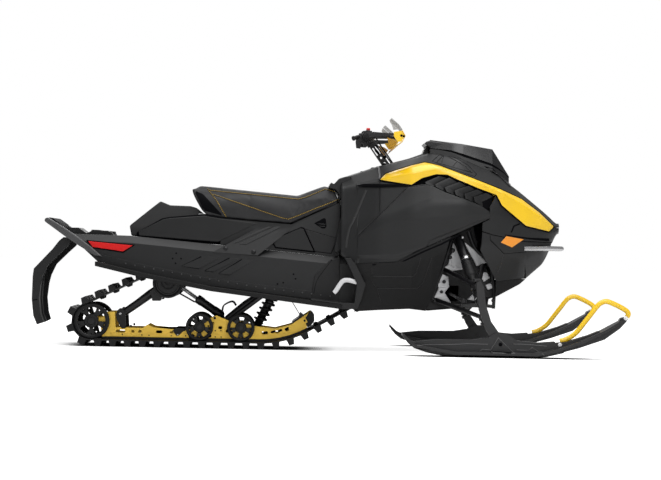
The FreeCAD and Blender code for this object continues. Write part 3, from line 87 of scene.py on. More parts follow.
class Paint:
    """A material whose nodes are written as expressions; it starts from a Principled shader."""

    def __init__(self, name, color, roughness, metallic=0, **constants):
        self.material = bpy.data.materials.new(name)
        self.material.use_nodes = True
        self.tree = self.material.node_tree
        self.shader = self.tree.nodes["Principled BSDF"]
        self.set("Base Color", (*color, 1))
        self.set("Roughness", roughness)
        self.set("Metallic", metallic)
        for socket, value in constants.items():
            self.set(socket.replace("_", " "), value)
        self.place = self.node("ShaderNodeTexCoord", {}, {}, "Object")
        PAINTS[name] = self

    def feed(self, socket, value):
        if isinstance(value, Value):
            self.tree.links.new(value.socket, socket)
        else:
            socket.default_value = value

    def set(self, socket, value):
        self.feed(self.shader.inputs[socket], value)

    def node(self, kind, settings, inputs, out=0):
        """Add a node: settings first, then its inputs, as numbers or as values."""
        node = self.tree.nodes.new(kind)
        for key, value in settings.items():
            setattr(node, key, value)
        for socket, value in inputs.items():
            self.feed(node.inputs[socket], value)
        return Value(self, node.outputs[out])

    def noise(self, scale, detail=3, roughness=0.5, at=None):
        """Soft random pattern from 0 to 1 on the piece's own coordinates."""
        inputs = {"Vector": at or self.place, "Scale": scale, "Detail": detail,
            "Roughness": roughness}
        return self.node("ShaderNodeTexNoise", {}, inputs, "Fac")

    def cells(self, scale):
        """Distance to the nearest of many random points, for grain and pebbling."""
        inputs = {"Vector": self.place, "Scale": scale}
        return self.node("ShaderNodeTexVoronoi", {}, inputs, "Distance")

    def stretched(self, x, y, z):
        """The piece's coordinates scaled along each axis, for brushed or drawn marks."""
        settings = {"vector_type": "POINT"}
        return self.node("ShaderNodeMapping", settings, {"Vector": self.place, "Scale": (x, y, z)})

    def mix(self, factor, first, second):
        """Colour between two colours, each a tuple of three or a value."""
        first, second = (c if isinstance(c, Value) else (*c, 1) for c in (first, second))
        inputs = {0: factor, 6: first, 7: second}
        return self.node("ShaderNodeMix", {"data_type": "RGBA"}, inputs, 2)

    def bump(self, height, distance, strength=1, under=None):
        """Relief from a height value; distance is the height of 1, in metres."""
        inputs = {"Height": height, "Distance": distance, "Strength": strength}
        if under is not None:
            inputs["Normal"] = under
        return self.node("ShaderNodeBump", {}, inputs, "Normal")

    def edges(self, radius):
        """1 on edges that stand out and 0 on flats, for rubbed corners."""
        soft = self.node("ShaderNodeBevel", {"samples": 4}, {"Radius": radius}, "Normal")
        hard = self.node("ShaderNodeNewGeometry", {}, {}, "Normal")
        settings = {"operation": "DOT_PRODUCT"}
        return 1 - self.node("ShaderNodeVectorMath", settings, {0: soft, 1: hard}, "Value")


print("shader language ready")
# %% [markdown]
# ## Finishes
# The machine has few materials: moulded black plastic, powder-coated sheet, bright yellow
# gloss, gold anodising, rubber, nylon, vinyl and some bare metal. A flat colour would look like
# a toy, so each finish gets the marks of how it is made: orange peel in gloss paint, a fine
# grain in moulded plastic, speckle in powder coat, pebbling in vinyl, all at their real scale.

# %% Plastic and painted finishes
def moulded(slot, color, rough, grain, depth, sheen=0.35, wear=0):
    """Moulded plastic: an even grain of the given spacing and a roughness that drifts."""
    paint = Paint(slot, color, rough, Specular_IOR_Level=sheen)
    pattern = paint.noise(1 / grain, 2)
    drift = paint.noise(7, 3) - 0.5
    paint.set("Roughness", rough + drift * 0.12 + (pattern - 0.5) * 0.10)
    paint.set("Normal", paint.bump(pattern, depth))
    if wear:
        rubbed = paint.edges(0.003).between(0.02, 0.22) * paint.noise(60).between(0.35, 0.7)
        light = tuple(min(1, channel + wear) for channel in color)
        paint.set("Base Color", paint.mix(rubbed, color, light))
    return paint


def glossed(slot, color, rough, metallic=0):
    """Gloss paint under a clear coat, with a deeper shade here and there."""
    paint = Paint(slot, color, rough, metallic, Coat_Weight=0.5, Coat_Roughness=0.2)
    shade = paint.noise(5, 2).between(0.3, 0.7)
    deep = tuple(channel * 0.9 for channel in color)
    paint.set("Base Color", paint.mix(shade, deep, color))
    paint.set("Roughness", rough + (paint.noise(35) - 0.5) * 0.08)
    return paint


def powder(slot, color, rough, speckle=1400):
    """Powder coat on sheet metal: fine raised speckle and a little variation in gloss."""
    paint = Paint(slot, color, rough, Specular_IOR_Level=0.4)
    grit = paint.noise(speckle, 1)
    paint.set("Roughness", rough + (grit - 0.5) * 0.2 + (paint.noise(4) - 0.5) * 0.1)
    paint.set("Normal", paint.bump(grit, 0.00008))
    worn = paint.edges(0.0025).between(0.03, 0.3) * paint.noise(45).between(0.4, 0.75)
    paint.set("Base Color", paint.mix(worn * 0.6, color, tuple(c + 0.05 for c in color)))
    return paint


moulded("body_black", (0.0095, 0.0097, 0.0102), 0.40, 0.0012, 0.00006)
moulded("trim_black", (0.0065, 0.0065, 0.007), 0.52, 0.0010, 0.00012)
moulded("ski", (0.014, 0.014, 0.015), 0.36, 0.0016, 0.00006, 0.45, 0.02)
moulded("wheel", (0.010, 0.010, 0.0105), 0.46, 0.0009, 0.00008)
moulded("visor", (0.008, 0.008, 0.009), 0.22, 0.004, 0.00002, 0.5)
powder("tunnel_black", (0.0080, 0.0082, 0.0088), 0.46)
powder("black_steel", (0.008, 0.008, 0.009), 0.34, 900)
glossed("yellow", (0.90, 0.565, 0.005), 0.32)
glossed("yellow_metal", (0.88, 0.55, 0.006), 0.28)
glossed("silver_paint", (0.60, 0.60, 0.61), 0.3)
# A light grey: the colour of the latch hooks, and painted highlight along the ski's creases.
moulded("edge_grey", (0.085, 0.085, 0.086), 0.45, 0.0012, 0.00005)
# A lighter black for the painted highlight along the knee's fold.
moulded("painted_highlight_sheen", (0.024, 0.024, 0.0245), 0.42, 0.0012, 0.00004)
moulded("board_black", (0.005, 0.005, 0.0052), 0.6, 0.0015, 0.00008, 0.25)
print("plastic and paint finishes:", len(PAINTS))

# %% [markdown]
# Metal shows the direction in which it was worked. Bright steel is drawn, so its marks run
# along the piece; a casting has a sandy skin; anodised plate keeps its rolling marks and
# varies a little in colour. Stretched noise gives the marks and needs no picture.

# %% Metals
def worked_metal(slot, color, rough, metallic, scale, depth, tint=0.12):
    """Metal with marks stretched along x, and a drift in colour and gloss."""
    paint = Paint(slot, color, rough, metallic)
    marks = paint.noise(1, 4, 0.6, paint.stretched(*scale))
    drift = paint.noise(6, 3).between(0.3, 0.7)
    dull = tuple(channel * (1 - tint) for channel in color)
    paint.set("Base Color", paint.mix(drift, dull, color))
    paint.set("Roughness", rough + (marks - 0.5) * 0.25)
    paint.set("Normal", paint.bump(marks, depth))
    return paint


worked_metal("steel", (0.55, 0.55, 0.56), 0.26, 1, (40, 900, 900), 0.00003)
worked_metal("cast", (0.62, 0.62, 0.63), 0.38, 0.35, (260, 260, 260), 0.0003)
worked_metal("engine", (0.045, 0.045, 0.05), 0.55, 0.6, (200, 200, 200), 0.0004)
worked_metal("gold", (0.98, 0.64, 0.09), 0.36, 0.5, (30, 500, 500), 0.00004, 0.2)
worked_metal("bumper_grey", (0.075, 0.075, 0.077), 0.42, 0.4, (200, 200, 200), 0.0002)
worked_metal("spindle_black", (0.03, 0.03, 0.031), 0.45, 0.4, (200, 200, 200), 0.0002)
print("metals ready")

# %% [markdown]
# Rubber is dull because its skin is rough at every scale, and the track carries a cord pattern
# pressed into it. Vinyl is embossed with small rounded pebbles, which the distance to random
# points draws well. Its stitching gets a thread colour of its own.

# %% Rubber, vinyl and thread
def rubbery(slot, color, rough, grain, depth):
    """Rubber: coarse mottling over fine grain, paler where it is scuffed."""
    paint = Paint(slot, color, rough, Specular_IOR_Level=0.3)
    mottle = paint.noise(18, 4).between(0.35, 0.75)
    paint.set("Base Color", paint.mix(mottle, color, tuple(channel * 1.9 for channel in color)))
    skin = paint.noise(grain, 3)
    paint.set("Roughness", rough + (skin - 0.5) * 0.25)
    paint.set("Normal", paint.bump(skin, depth))
    return paint


rubbery("rubber", (0.0075, 0.0075, 0.008), 0.62, 600, 0.0002)
rubbery("grip_rubber", (0.006, 0.006, 0.0065), 0.7, 900, 0.00015)

vinyl = Paint("seat_cover", (0.0125, 0.0125, 0.0135), 0.5, Specular_IOR_Level=0.4)
pebble = vinyl.cells(420)
crease = vinyl.noise(14, 4)
# Painted shade: the cover is lighter on the raised folds and darker in their hollows, following the
# fold relief.
fold_painted_shade = crease.between(0.35, 0.7)
vinyl.set("Base Color", vinyl.mix(fold_painted_shade, (0.0105, 0.0105, 0.0115), (0.0155, 0.0155, 0.0165)))
vinyl.set("Roughness", 0.44 + pebble * 0.25 + (crease - 0.5) * 0.14)
vinyl.set("Normal", vinyl.bump(pebble, 0.0005, 0.6, vinyl.bump(crease, 0.0012, 0.4)))

thread = Paint("thread", (0.42, 0.28, 0.05), 0.6)
twist = thread.noise(1, 2, 0.5, thread.stretched(500, 500, 1800))
# Painted shade: the thread is lighter on the raised strands of its twist and darker between them.
twist_painted_shade = twist.between(0.3, 0.7)
thread.set("Base Color", thread.mix(twist_painted_shade, (0.32, 0.20, 0.03), (0.52, 0.34, 0.06)))
thread.set("Normal", thread.bump(twist, 0.0004))
print("rubber, vinyl and thread ready")

# %% [markdown]
# Lenses and clear plastic pass light. The reflectors are prismatic: a fine square grid of
# facets behind a smooth face, drawn here by two crossed wave patterns in the bump, which also
# paint each facet's colour darker and lighter as painted shade. The hand guard's shields are
# smoke-tinted sheet, so part of their shader is see-through.

# %% Lenses and clear plastic
def lens(slot, color, alpha, rough, facet):
    """Coloured or clear plastic with a prismatic back; alpha is how much it hides."""
    paint = Paint(slot, color, rough, Coat_Weight=0.15, Specular_IOR_Level=0.3)
    ridges = 0
    for direction in ("X", "Z"):
        wave = paint.node("ShaderNodeTexWave", {"bands_direction": direction},
            {"Vector": paint.place, "Scale": facet}, "Fac")
        ridges = wave + ridges
    # Painted shade: the facet pattern darkens the colour across the facets, following their bump.
    shade = tuple(channel * 0.72 for channel in color)
    paint.set("Base Color", paint.mix(ridges * 0.5, shade, color))
    paint.set("Roughness", rough + (paint.noise(25) - 0.5) * 0.06)
    paint.set("Normal", paint.bump(ridges, 0.0003, 0.5))
    paint.set("Alpha", alpha)
    return paint


def tinted(slot, color, alpha, rough):
    """Clear sheet with a tint: smooth, a little uneven in gloss, partly see-through."""
    paint = Paint(slot, color, rough, Specular_IOR_Level=0.4)
    haze = paint.noise(22, 3).between(0.3, 0.7)
    paint.set("Base Color", paint.mix(haze, tuple(channel * 0.85 for channel in color), color))
    paint.set("Roughness", rough + (haze - 0.5) * 0.08)
    paint.set("Alpha", alpha)
    return paint


lens("red_lens", (0.78, 0.006, 0.006), 1, 0.35, 90)
lens("amber_lens", (1, 0.36, 0.04), 1, 0.3, 90)
tinted("lamp_glass", (0.05, 0.05, 0.055), 0.55, 0.06)
tinted("smoke", (0.34, 0.33, 0.31), 0.55, 0.12)
tinted("amber_tint", (0.42, 0.22, 0.015), 0.85, 0.2)
moulded("red_plastic", (0.62, 0.012, 0.012), 0.35, 0.001, 0.00005, 0.5)
# Near-black with little gloss: the colour of some small dark parts, and painted shade in gaps,
# seams, holes and recesses.
moulded("dark_line", (0.0012, 0.0012, 0.002), 0.7, 0.001, 0.00005, 0.06)
moulded("white_plastic", (0.75, 0.75, 0.76), 0.35, 0.001, 0.00005, 0.5)
print("finishes in all:", len(PAINTS))

# %% [markdown]
# ## Camera, floor and light
# The machine stands side-on at the eye height of a low tripod, and a long lens from almost ten
# metres keeps its lines nearly parallel. Two directions fix the camera's turn: where the
# machine's length lies across the picture, and where its width runs away from the viewer.

# %% Camera
def link(thing):
    """Put an object into the scene."""
    bpy.context.scene.collection.objects.link(thing)
    return thing


EYE, FOCAL, SENSOR = (-0.268, -9.76, 0.4885), 106.3, 36
FALL, DEPTH = math.radians(1.2), 0.02934
SIDEWAYS, DOWN = math.tan(math.radians(1.687)), math.tan(math.radians(0.2935))
across = Vector((math.cos(FALL), -math.sin(FALL), -DEPTH))
away = Vector((-SIDEWAYS, -DOWN, -1))
across.normalize()
away.normalize()
lens_data = bpy.data.cameras.new("side_view")
lens_data.lens, lens_data.sensor_width = FOCAL, SENSOR
camera = link(bpy.data.objects.new("side_view", lens_data))
turn = Matrix((across, away, across.cross(away)))
camera.matrix_world = Matrix.Translation(EYE) @ turn.to_4x4()
bpy.context.scene.camera = camera
sight = camera.matrix_world.to_3x3() @ Vector((0, 0, -1))
print("camera looks along", [round(v, 4) for v in sight])

# %% [markdown]
# A pale studio sweep has no horizon: floor and background are the same white to the camera,
# and through clear plastic, while the floor still takes a soft shadow from the lamps, and an
# ambient occlusion mask paints a darker contact shadow into its colour near the machine. Most
# of the light comes from a wide panel overhead, so top faces are lighter than the sides, and a
# lower panel behind the viewer fills the flank.

# %% Floor, backdrop and lamps
def seen_directly(tree):
    """1 for rays from the camera or through clear plastic."""
    path = tree.nodes.new("ShaderNodeLightPath")
    either = tree.nodes.new("ShaderNodeMath")
    either.operation = "MAXIMUM"
    tree.links.new(path.outputs["Is Camera Ray"], either.inputs[0])
    tree.links.new(path.outputs["Is Transmission Ray"], either.inputs[1])
    return either.outputs[0]


bpy.context.scene.view_settings.view_transform = "Standard"
world = bpy.data.worlds.new("studio")
bpy.context.scene.world = world
world.use_nodes = True
sky = world.node_tree
backdrop = sky.nodes["Background"]
backdrop.inputs["Color"].default_value = (1, 1, 1, 1)
strength = sky.nodes.new("ShaderNodeMix")
strength.inputs[2].default_value, strength.inputs[3].default_value = 0.38, 1
sky.links.new(seen_directly(sky), strength.inputs[0])
sky.links.new(strength.outputs[0], backdrop.inputs["Strength"])

floor_mesh = bpy.data.meshes.new("floor")
REACH = 60
corners = [(REACH * x, REACH * y, 0) for x, y in ((-1, -1), (1, -1), (1, 1), (-1, 1))]
floor_mesh.from_pydata(corners, [], [(0, 1, 2, 3)])
floor = link(bpy.data.objects.new("floor", floor_mesh))
floor_paint = Paint("floor", (0.92, 0.92, 0.92), 0.9, Specular_IOR_Level=0,
    Emission_Strength=0.66)
direct = Value(floor_paint, seen_directly(floor_paint.tree))
# Painted contact shadow: ambient occlusion near the machine darkens the floor's colour and glow, on
# top of the lamps' own shadow.
painted_contact_occlusion = floor_paint.node("ShaderNodeAmbientOcclusion", {"samples": 12}, {"Distance": 0.15}, "AO")
clear_of_painted_shadow = painted_contact_occlusion.between(0.25, 0.80)
glow = floor_paint.mix(direct, (0.10, 0.10, 0.10), (1, 1, 1))
floor_paint.set("Emission Color", floor_paint.mix(clear_of_painted_shadow, (0, 0, 0), glow))
floor_paint.set("Base Color", floor_paint.mix(clear_of_painted_shadow, (0.03, 0.03, 0.03), (0.92, 0.92, 0.92)))
floor_mesh.materials.append(floor_paint.material)


def panel_light(name, place, aim, size, power):
    """A square soft light at a place, turned to face a point."""
    data = bpy.data.lights.new(name, "AREA")
    data.shape, data.size, data.energy = "SQUARE", size, power
    lamp = link(bpy.data.objects.new(name, data))
    lamp.location = place
    lamp.rotation_euler = (Vector(aim) - Vector(place)).to_track_quat("-Z", "Y").to_euler()


panel_light("overhead", (0.3, -0.8, 4.2), (0, 0, 0.4), 4.5, 175)
panel_light("flank", (1.8, -5, 3), (0, 0, 0.5), 2.6, 85)
panel_light("far_rim", (-1.5, 4.5, 2.6), (0, 0, 0.6), 3, 70)
print("stage ready")

# %% [markdown]
# ## Makers of simple forms
# Most fittings are one of three forms: a profile turned about an axis, a tube along a path, or
# a flat plate cut to an outline. Each is worked out as a whole array of points here, so that
# later cells only give a profile, a path or an outline. Curved paths pass smoothly through
# their points, because a bent tube or a wound spring has no corners.

# %% Turned, tubular and plate forms
def mm(*numbers, size=2):
    """Millimetres as points in metres, (x, z) or with size=3 (x, y, z). For the rows of a
    stepped form the first number of each is in thousandths of its length."""
    return [tuple(n / 1000 for n in numbers[k:k + size]) for k in range(0, len(numbers), size)]


def unit(vectors):
    """Each vector at length one."""
    return vectors / np.linalg.norm(vectors, axis=-1, keepdims=True)


def spaced(line, step, corners=False):
    """x and z of places every step along a line of (x, z), with its corners if wanted."""
    line = np.array(line)
    length = np.concatenate([[0], np.cumsum(np.linalg.norm(np.diff(line, axis=0), axis=1))])
    at = np.arange(0, length[-1], step)
    if corners:
        at = np.unique(np.concatenate([at, length]))
    return np.interp(at, length, line[:, 0]), np.interp(at, length, line[:, 1])


def gather(*parts):
    """Several (vertices, faces) as one."""
    vertices, faces, count = [], [], 0
    for points, quads in parts:
        vertices.append(np.asarray(points, float))
        faces += [[index + count for index in quad] for quad in quads]
        count += len(points)
    return np.concatenate(vertices), faces


MIRROR = np.array([1, -1, 1])


def mirrored(part):
    """A part and its mirror image on the other side of the middle plane."""
    vertices, faces = part
    other = np.asarray(vertices, float) * MIRROR
    return gather((vertices, faces), (other, [quad[::-1] for quad in faces]))


def ring_faces(rings, sides, closed=False):
    """Quads between the closed rings of a tube, numbered ring by ring. Its two ends are
    capped, or meet when it is closed like a tyre."""
    ring = np.arange(rings - (not closed))[:, None] * sides
    first = np.arange(sides)[None]
    beyond, after = (ring + sides) % (rings * sides), (first + 1) % sides
    quads = np.stack([ring + first, ring + after, beyond + after, beyond + first], -1)
    caps = [list(range(sides))[::-1], list(range((rings - 1) * sides, rings * sides))]
    return quads.reshape(-1, 4).tolist() + ([] if closed else caps)


def full_turn(count):
    """Angles evenly round a circle."""
    return np.linspace(0, 2 * np.pi, count, endpoint=False)


def around(axis, angle):
    """Unit vectors square to an axis, one at each angle about it."""
    axis = Vector(axis).normalized()
    side = axis.orthogonal().normalized()
    return np.cos(angle)[:, None] * side + np.sin(angle)[:, None] * np.cross(axis, side)


def turned(profile, start, axis, sides=24, hollow=False):
    """Profile rows of (distance along the axis, radius), turned about the axis from start."""
    profile = np.array(profile, float)
    along = profile[:, :1] * np.array(Vector(axis).normalized())
    radius = np.maximum(profile[:, 1], 1e-5)[:, None, None]
    rings = np.array(start) + along[:, None] + around(axis, full_turn(sides)) * radius
    return rings.reshape(-1, 3), ring_faces(len(profile), sides, hollow)


def stepped(rows, start, end, sides):
    """A turned form between two points; its rows are (share of the way, radius)."""
    way = np.linalg.norm(end - start)
    return turned([(share * way, radius) for share, radius in rows], start, end - start, sides)


def smooth_path(points, count):
    """A curve through the points: each span is a cubic whose end slopes are half the chord
    of the neighbouring points (Catmull and Rom's rule)."""
    points = np.array(points, float)
    padded = np.concatenate([2 * points[:1] - points[1:2], points, 2 * points[-1:] - points[-2:-1]])
    at = np.linspace(0, len(points) - 1 - 1e-9, count)
    span = at.astype(int)
    u = (at - span)[:, None]
    a, b, c, d = (padded[span + k] for k in range(4))
    return 0.5 * (2 * b + (c - a) * u + (2 * a - 5 * b + 4 * c - d) * u ** 2
                  + (3 * b - a - 3 * c + d) * u ** 3)


def tube(path, radius, sides=12, flat=1, reference=(0, 1, 0)):
    """A tube along a path; radius is one number or one for each point, flat squeezes it
    towards the reference direction. Its section is an ellipse square to the path."""
    path = np.array(path, float)
    tangent = unit(np.gradient(path, axis=0))
    side = unit(np.array(reference) - tangent * (tangent @ np.array(reference))[:, None])
    other = np.cross(tangent, side)
    angle = full_turn(sides)
    radius = np.broadcast_to(radius, len(path))[:, None, None]
    section = (np.cos(angle)[None, :, None] * side[:, None] * flat
               + np.sin(angle)[None, :, None] * other[:, None])
    return (path[:, None] + section * radius).reshape(-1, 3), ring_faces(len(path), sides)


def coil(start, end, radius, wire, turns, sides=8, per_turn=20):
    """A wound spring between two points: a helix of constant pitch, as a tube of wire."""
    start, way = np.array(start, float), np.array(end, float) - start
    at = np.linspace(0, 1, int(turns * per_turn))
    path = start + way * at[:, None] + radius * around(way, at * turns * 2 * np.pi)
    return tube(path, wire, sides, reference=Vector(way).normalized())


def prism(near, far):
    """The solid between two outlines of points with the same count."""
    count = len(near)
    walls = [[count + i, count + (i + 1) % count, (i + 1) % count, i] for i in range(count)]
    caps = [list(range(count)), list(range(count, 2 * count))[::-1]]
    return np.concatenate([near, far]), caps + walls


def plate(outline, low, high):
    """A flat plate: an outline of (x, z) between y = low and y = high, one number or many."""
    x, z = np.array(outline, float).T
    vertices, faces = prism(*[np.stack([x, x * 0 + y, z], 1) for y in (low, high)])
    area = np.sum(x * np.roll(z, -1) - np.roll(x, -1) * z)
    if (area < 0) == (np.mean(high) > np.mean(low)):
        faces = [face[::-1] for face in faces]
    return vertices, faces


def heads(places, radius, height, axis=(0, -1, 0), sides=10):
    """Domed fastener heads with a small socket, one at each place."""
    profile = np.array([(-0.3, 0), (-0.3, 1), (0.35, 1), (0.8, 0.78), (1, 0.5), (1, 0.32),
        (0.45, 0.26), (0.45, 0)]) * (height, radius)
    return gather(*[turned(profile, place, axis, sides) for place in places])


@contextmanager
def edited(piece):
    """A piece's mesh opened for editing, written back at the end."""
    shape = bmesh.new()
    shape.from_mesh(piece.data)
    yield shape
    shape.to_mesh(piece.data)
    shape.free()


BESIDE = 1.2  # rays start this far out to the side


def shot(tree, x, z, side):
    """Where a ray from one side first meets a tree at (x, z), and the normal there; both are
    None where it misses."""
    return tree.ray_cast(Vector((x, side * BESIDE, z)), Vector((0, -side, 0)))[:2]


def fix_normals(piece):
    """Turn every face outwards on each closed shell of a piece."""
    with edited(piece) as shape:
        bmesh.ops.recalc_face_normals(shape, faces=shape.faces)
    return piece


print("turned, tubular and plate forms ready")

# %% [markdown]
# ## Rigid pieces
# The construction's own shape is right for plates, tubes and brackets, but its edges are
# perfectly sharp and a real edge never is. Each such piece is copied, its loose triangles are
# merged, its flat faces joined again, and a Bevel modifier rounds the edges so that they
# catch the light. The bevel's width follows the make: thin for cut sheet, wide for a casting.

# %% Merge, round and place a construction piece
SLOTS = {row["node"]: row["material_slot"] for row in frame["record"]["subparts"]}
BODIES = frame["record"]["behaviour"]["bodies"]
BODY_OF = {node: body for body, nodes in BODIES.items() for node in nodes}


def linked(name, vertices, faces):
    """A new mesh object at the origin."""
    mesh = bpy.data.meshes.new(name)
    mesh.from_pydata([tuple(v) for v in np.asarray(vertices, float)], [], faces)
    return link(bpy.data.objects.new(name, mesh))


def finish_mesh(mesh, paint):
    """Give a mesh one paint and smooth shading."""
    mesh.materials.clear()
    mesh.materials.append(PAINTS[paint].material)
    mesh.polygons.foreach_set("use_smooth", np.ones(len(mesh.polygons), bool))


def new_piece(name, vertices, faces, slot, body="chassis", nodes=(), paint=None):
    """A mesh object with its finish, its body and the nodes it stands for."""
    piece = linked(name, vertices, faces)
    finish_mesh(piece.data, paint or slot)
    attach(piece, body)
    if nodes:
        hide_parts(*nodes)
    return piece


def soften(piece, width, angle=32, segments=2):
    """Round the piece's sharp edges and shade the rest smooth."""
    piece.data.set_sharp_from_angle(angle=math.radians(angle))
    bevel = piece.modifiers.new("rounding", "BEVEL")
    bevel.width, bevel.segments = width, segments
    bevel.limit_method, bevel.angle_limit = "ANGLE", math.radians(angle)
    bevel.harden_normals = True
    bevel.miter_outer = "MITER_ARC"
    return piece


def made(name, part, slot, *rounding, body="chassis", nodes=(), paint=None):
    """A piece from (vertices, faces), its faces turned outwards; rounding is what soften takes."""
    piece = fix_normals(new_piece(name, *part, slot, body, nodes, paint))
    return soften(piece, *rounding) if rounding else piece


def paired(name, part, slot, *rounding, **rest):
    """The same for a part and its mirror image."""
    return made(name, mirrored(part), slot, *rounding, **rest)


def merged(node):
    """Vertices and faces of a node with doubles merged and flat faces joined."""
    shape = bmesh.new()
    shape.from_mesh(frame["nodes"][node].data)
    bmesh.ops.remove_doubles(shape, verts=shape.verts, dist=1e-5)
    bmesh.ops.dissolve_limit(shape, angle_limit=math.radians(0.6), verts=shape.verts,
        edges=shape.edges)
    shape.verts.index_update()
    vertices = [tuple(v.co) for v in shape.verts]
    faces = [[v.index for v in face.verts] for face in shape.faces]
    shape.free()
    return vertices, faces


def dressed(node, width, angle=32, segments=2, paint=None):
    """A rounded copy of a node in its own finish, standing for it."""
    name, part = node + "_finished", merged(node)
    piece = new_piece(name, *part, SLOTS[node], BODY_OF[node], [node], paint)
    return soften(piece, width, angle, segments)


def evaluated(piece):
    """A piece as its modifiers leave it."""
    return piece.evaluated_get(bpy.context.evaluated_depsgraph_get())


def applied(piece):
    """Keep what a piece's modifiers make of it as its mesh."""
    mesh = bpy.data.meshes.new_from_object(evaluated(piece))
    piece.modifiers.clear()
    piece.data = mesh
    return mesh


def cut_with(piece, part, operation):
    """Cut a piece with (vertices, faces): INTERSECT keeps the inside, DIFFERENCE the rest."""
    knife = linked("knife", *part)
    cut = piece.modifiers.new("cut", "BOOLEAN")
    cut.object, cut.operation, cut.solver = knife, operation, "EXACT"
    applied(piece)
    bpy.data.objects.remove(knife)


def carved(node, name, outline, operation, grow, slot, nodes=(), paint=None, width=0.003,
           reach=0.4):
    """The part of a node inside or outside an outline of (x, z), widened by a factor."""
    vertices, faces = merged(node)
    vertices = np.array(vertices) * (1, grow, 1)
    piece = new_piece(name, vertices, faces, slot, BODY_OF[node], nodes, paint)
    cut_with(piece, plate(outline, -reach, reach), operation)
    finish_mesh(piece.data, paint or slot)
    return soften(piece, width, 25, 3)


for node, thing in frame["nodes"].items():
    paint = PAINTS[SLOTS[node]].material
    if not thing.material_slots:
        thing.data.materials.append(paint)
    for place in thing.material_slots:
        place.material = paint

EDGE = {"tunnel": 0.0012, "foot_wells": 0.003, "tail_deck": 0.003, "tail_lamp": 0.0015,
    "tunnel_cover": 0.006, "seat_base": 0.006, "reflectors_amber": 0.001, "headlamps": 0.001,
    "column_bearing": 0.001, "bulkhead": 0.004, "engine_block": 0.006, "skid_rails": 0.001,
    "slide_shoes": 0.001, "steering_post": 0.0015, "front_shocks": 0.001}
for node, width in EDGE.items():
    dressed(node, width)
for node, width in {"running_boards": 0.002, "belly_pan": 0.001}.items():
    dressed(node, width, paint="board_black")
print("rounded pieces:", len(EDGE) + 2)

# %% [markdown]
# ## The body's form
# The front body is one folded form cut into panels: five long creases run from the seat to the
# nose, and each panel is a patch of that form between two lines seen from the side. A modeller
# could pull one mesh about by hand, but then every gap between panels would be drawn twice. So
# the form is a function of a place along the machine and a place round its section, and a panel
# only has to say between which lines it lies.

# %% The form as a function
# Each row: x, then (height, half width) of belly, knee, side, shoulder and crest.
SECTIONS = np.array([
    (60, 190, 215, 330, 300, 600, 262, 800, 190, 850, 110),
    (240, 205, 240, 420, 335, 640, 330, 838, 265, 912, 120),
    (400, 215, 250, 440, 345, 700, 350, 900, 285, 950, 135),
    (500, 205, 250, 470, 345, 740, 350, 915, 285, 985, 150),
    (650, 220, 235, 560, 325, 740, 335, 868, 285, 960, 160),
    (820, 275, 200, 520, 280, 700, 290, 813, 262, 893, 140),
    (950, 345, 170, 470, 228, 640, 245, 758, 212, 800, 120),
    (1080, 455, 110, 520, 150, 600, 165, 664, 150, 700, 85),
    (1115, 545, 85, 570, 118, 600, 128, 640, 118, 672, 65),
    (1150, 612, 50, 618, 80, 624, 85, 634, 75, 640, 45)]) / 1000
CROWN = 0.005  # rise of the crest towards the middle line
ROUND_ALONG, ROUND_ABOUT = 0.022, 0.09  # reach of the rounding, in metres and in rows
NEXT_X, NEXT_T = 0.002, 0.03  # steps to the neighbours that give a normal


def rounded(at, knots, values, reach):
    """Straight runs through the knots, averaged over a reach each way, which rounds corners."""
    shifts = np.linspace(-reach, reach, 9)
    return np.mean([np.interp(at + shift, knots, values) for shift in shifts], axis=0)


def line_height(points, x):
    """Height of a line of (x, z) points at each x."""
    xs, zs = np.array(points).T
    return np.interp(x, xs, zs)


def section_rows(x):
    """Heights and half widths of the seven rows of the form at each x, centre to centre."""
    rows = [rounded(x, SECTIONS[:, 0], column, ROUND_ALONG) for column in SECTIONS.T[1:]]
    heights, widths = rows[::2], rows[1::2]
    zero = np.zeros_like(x)
    heights = np.array([heights[0], *heights, heights[4] + CROWN])
    return heights, np.array([zero, *widths, zero])


def on_form(x, t):
    """Points of the right side: x along, t round the section, from -1 under the middle line
    past belly 0, knee 1, side 2, shoulder 3 and crest 4 to 5 on top of the middle line."""
    heights, widths = section_rows(x)
    columns = np.arange(len(x))[:, None]
    total_y, total_z = 0, 0
    shifts = np.linspace(-ROUND_ABOUT, ROUND_ABOUT, 5)
    for shift in shifts:
        place = np.clip(t + shift, -1, 5) + 1
        low = np.minimum(np.floor(place).astype(int), 5)
        part = place - low
        total_y = total_y + widths[low, columns] * (1 - part) + widths[low + 1, columns] * part
        total_z = total_z + heights[low, columns] * (1 - part) + heights[low + 1, columns] * part
    count = len(shifts)
    return np.stack([np.repeat(x[:, None], t.shape[1], 1), -total_y / count, total_z / count], -1)


def round_at(x, z):
    """The place round the section at which the form has height z, for each x."""
    steps = np.linspace(0, 4, 201)
    heights = on_form(x, np.repeat(steps[None], len(x), 0))[:, :, 2]
    return np.array([np.interp(want, row, steps) for want, row in zip(z, heights)])


def outward(points):
    """Unit normals of a grid of points from the cross product of its two directions."""
    along = np.gradient(points, axis=0)
    across_it = np.gradient(points, axis=1)
    normal = np.cross(along, across_it)
    return normal / np.maximum(np.linalg.norm(normal, axis=-1, keepdims=True), 1e-9)


def form_points(x, z):
    """Points on the form's right side at places (x, z), and the outward normals there."""
    t = round_at(x, z)[:, None] + np.array([[-NEXT_T, 0, NEXT_T]])
    here, ahead = on_form(x, t), on_form(x + NEXT_X, t)
    return here[:, 1], unit(np.cross(ahead[:, 1] - here[:, 1], here[:, 2] - here[:, 0]))


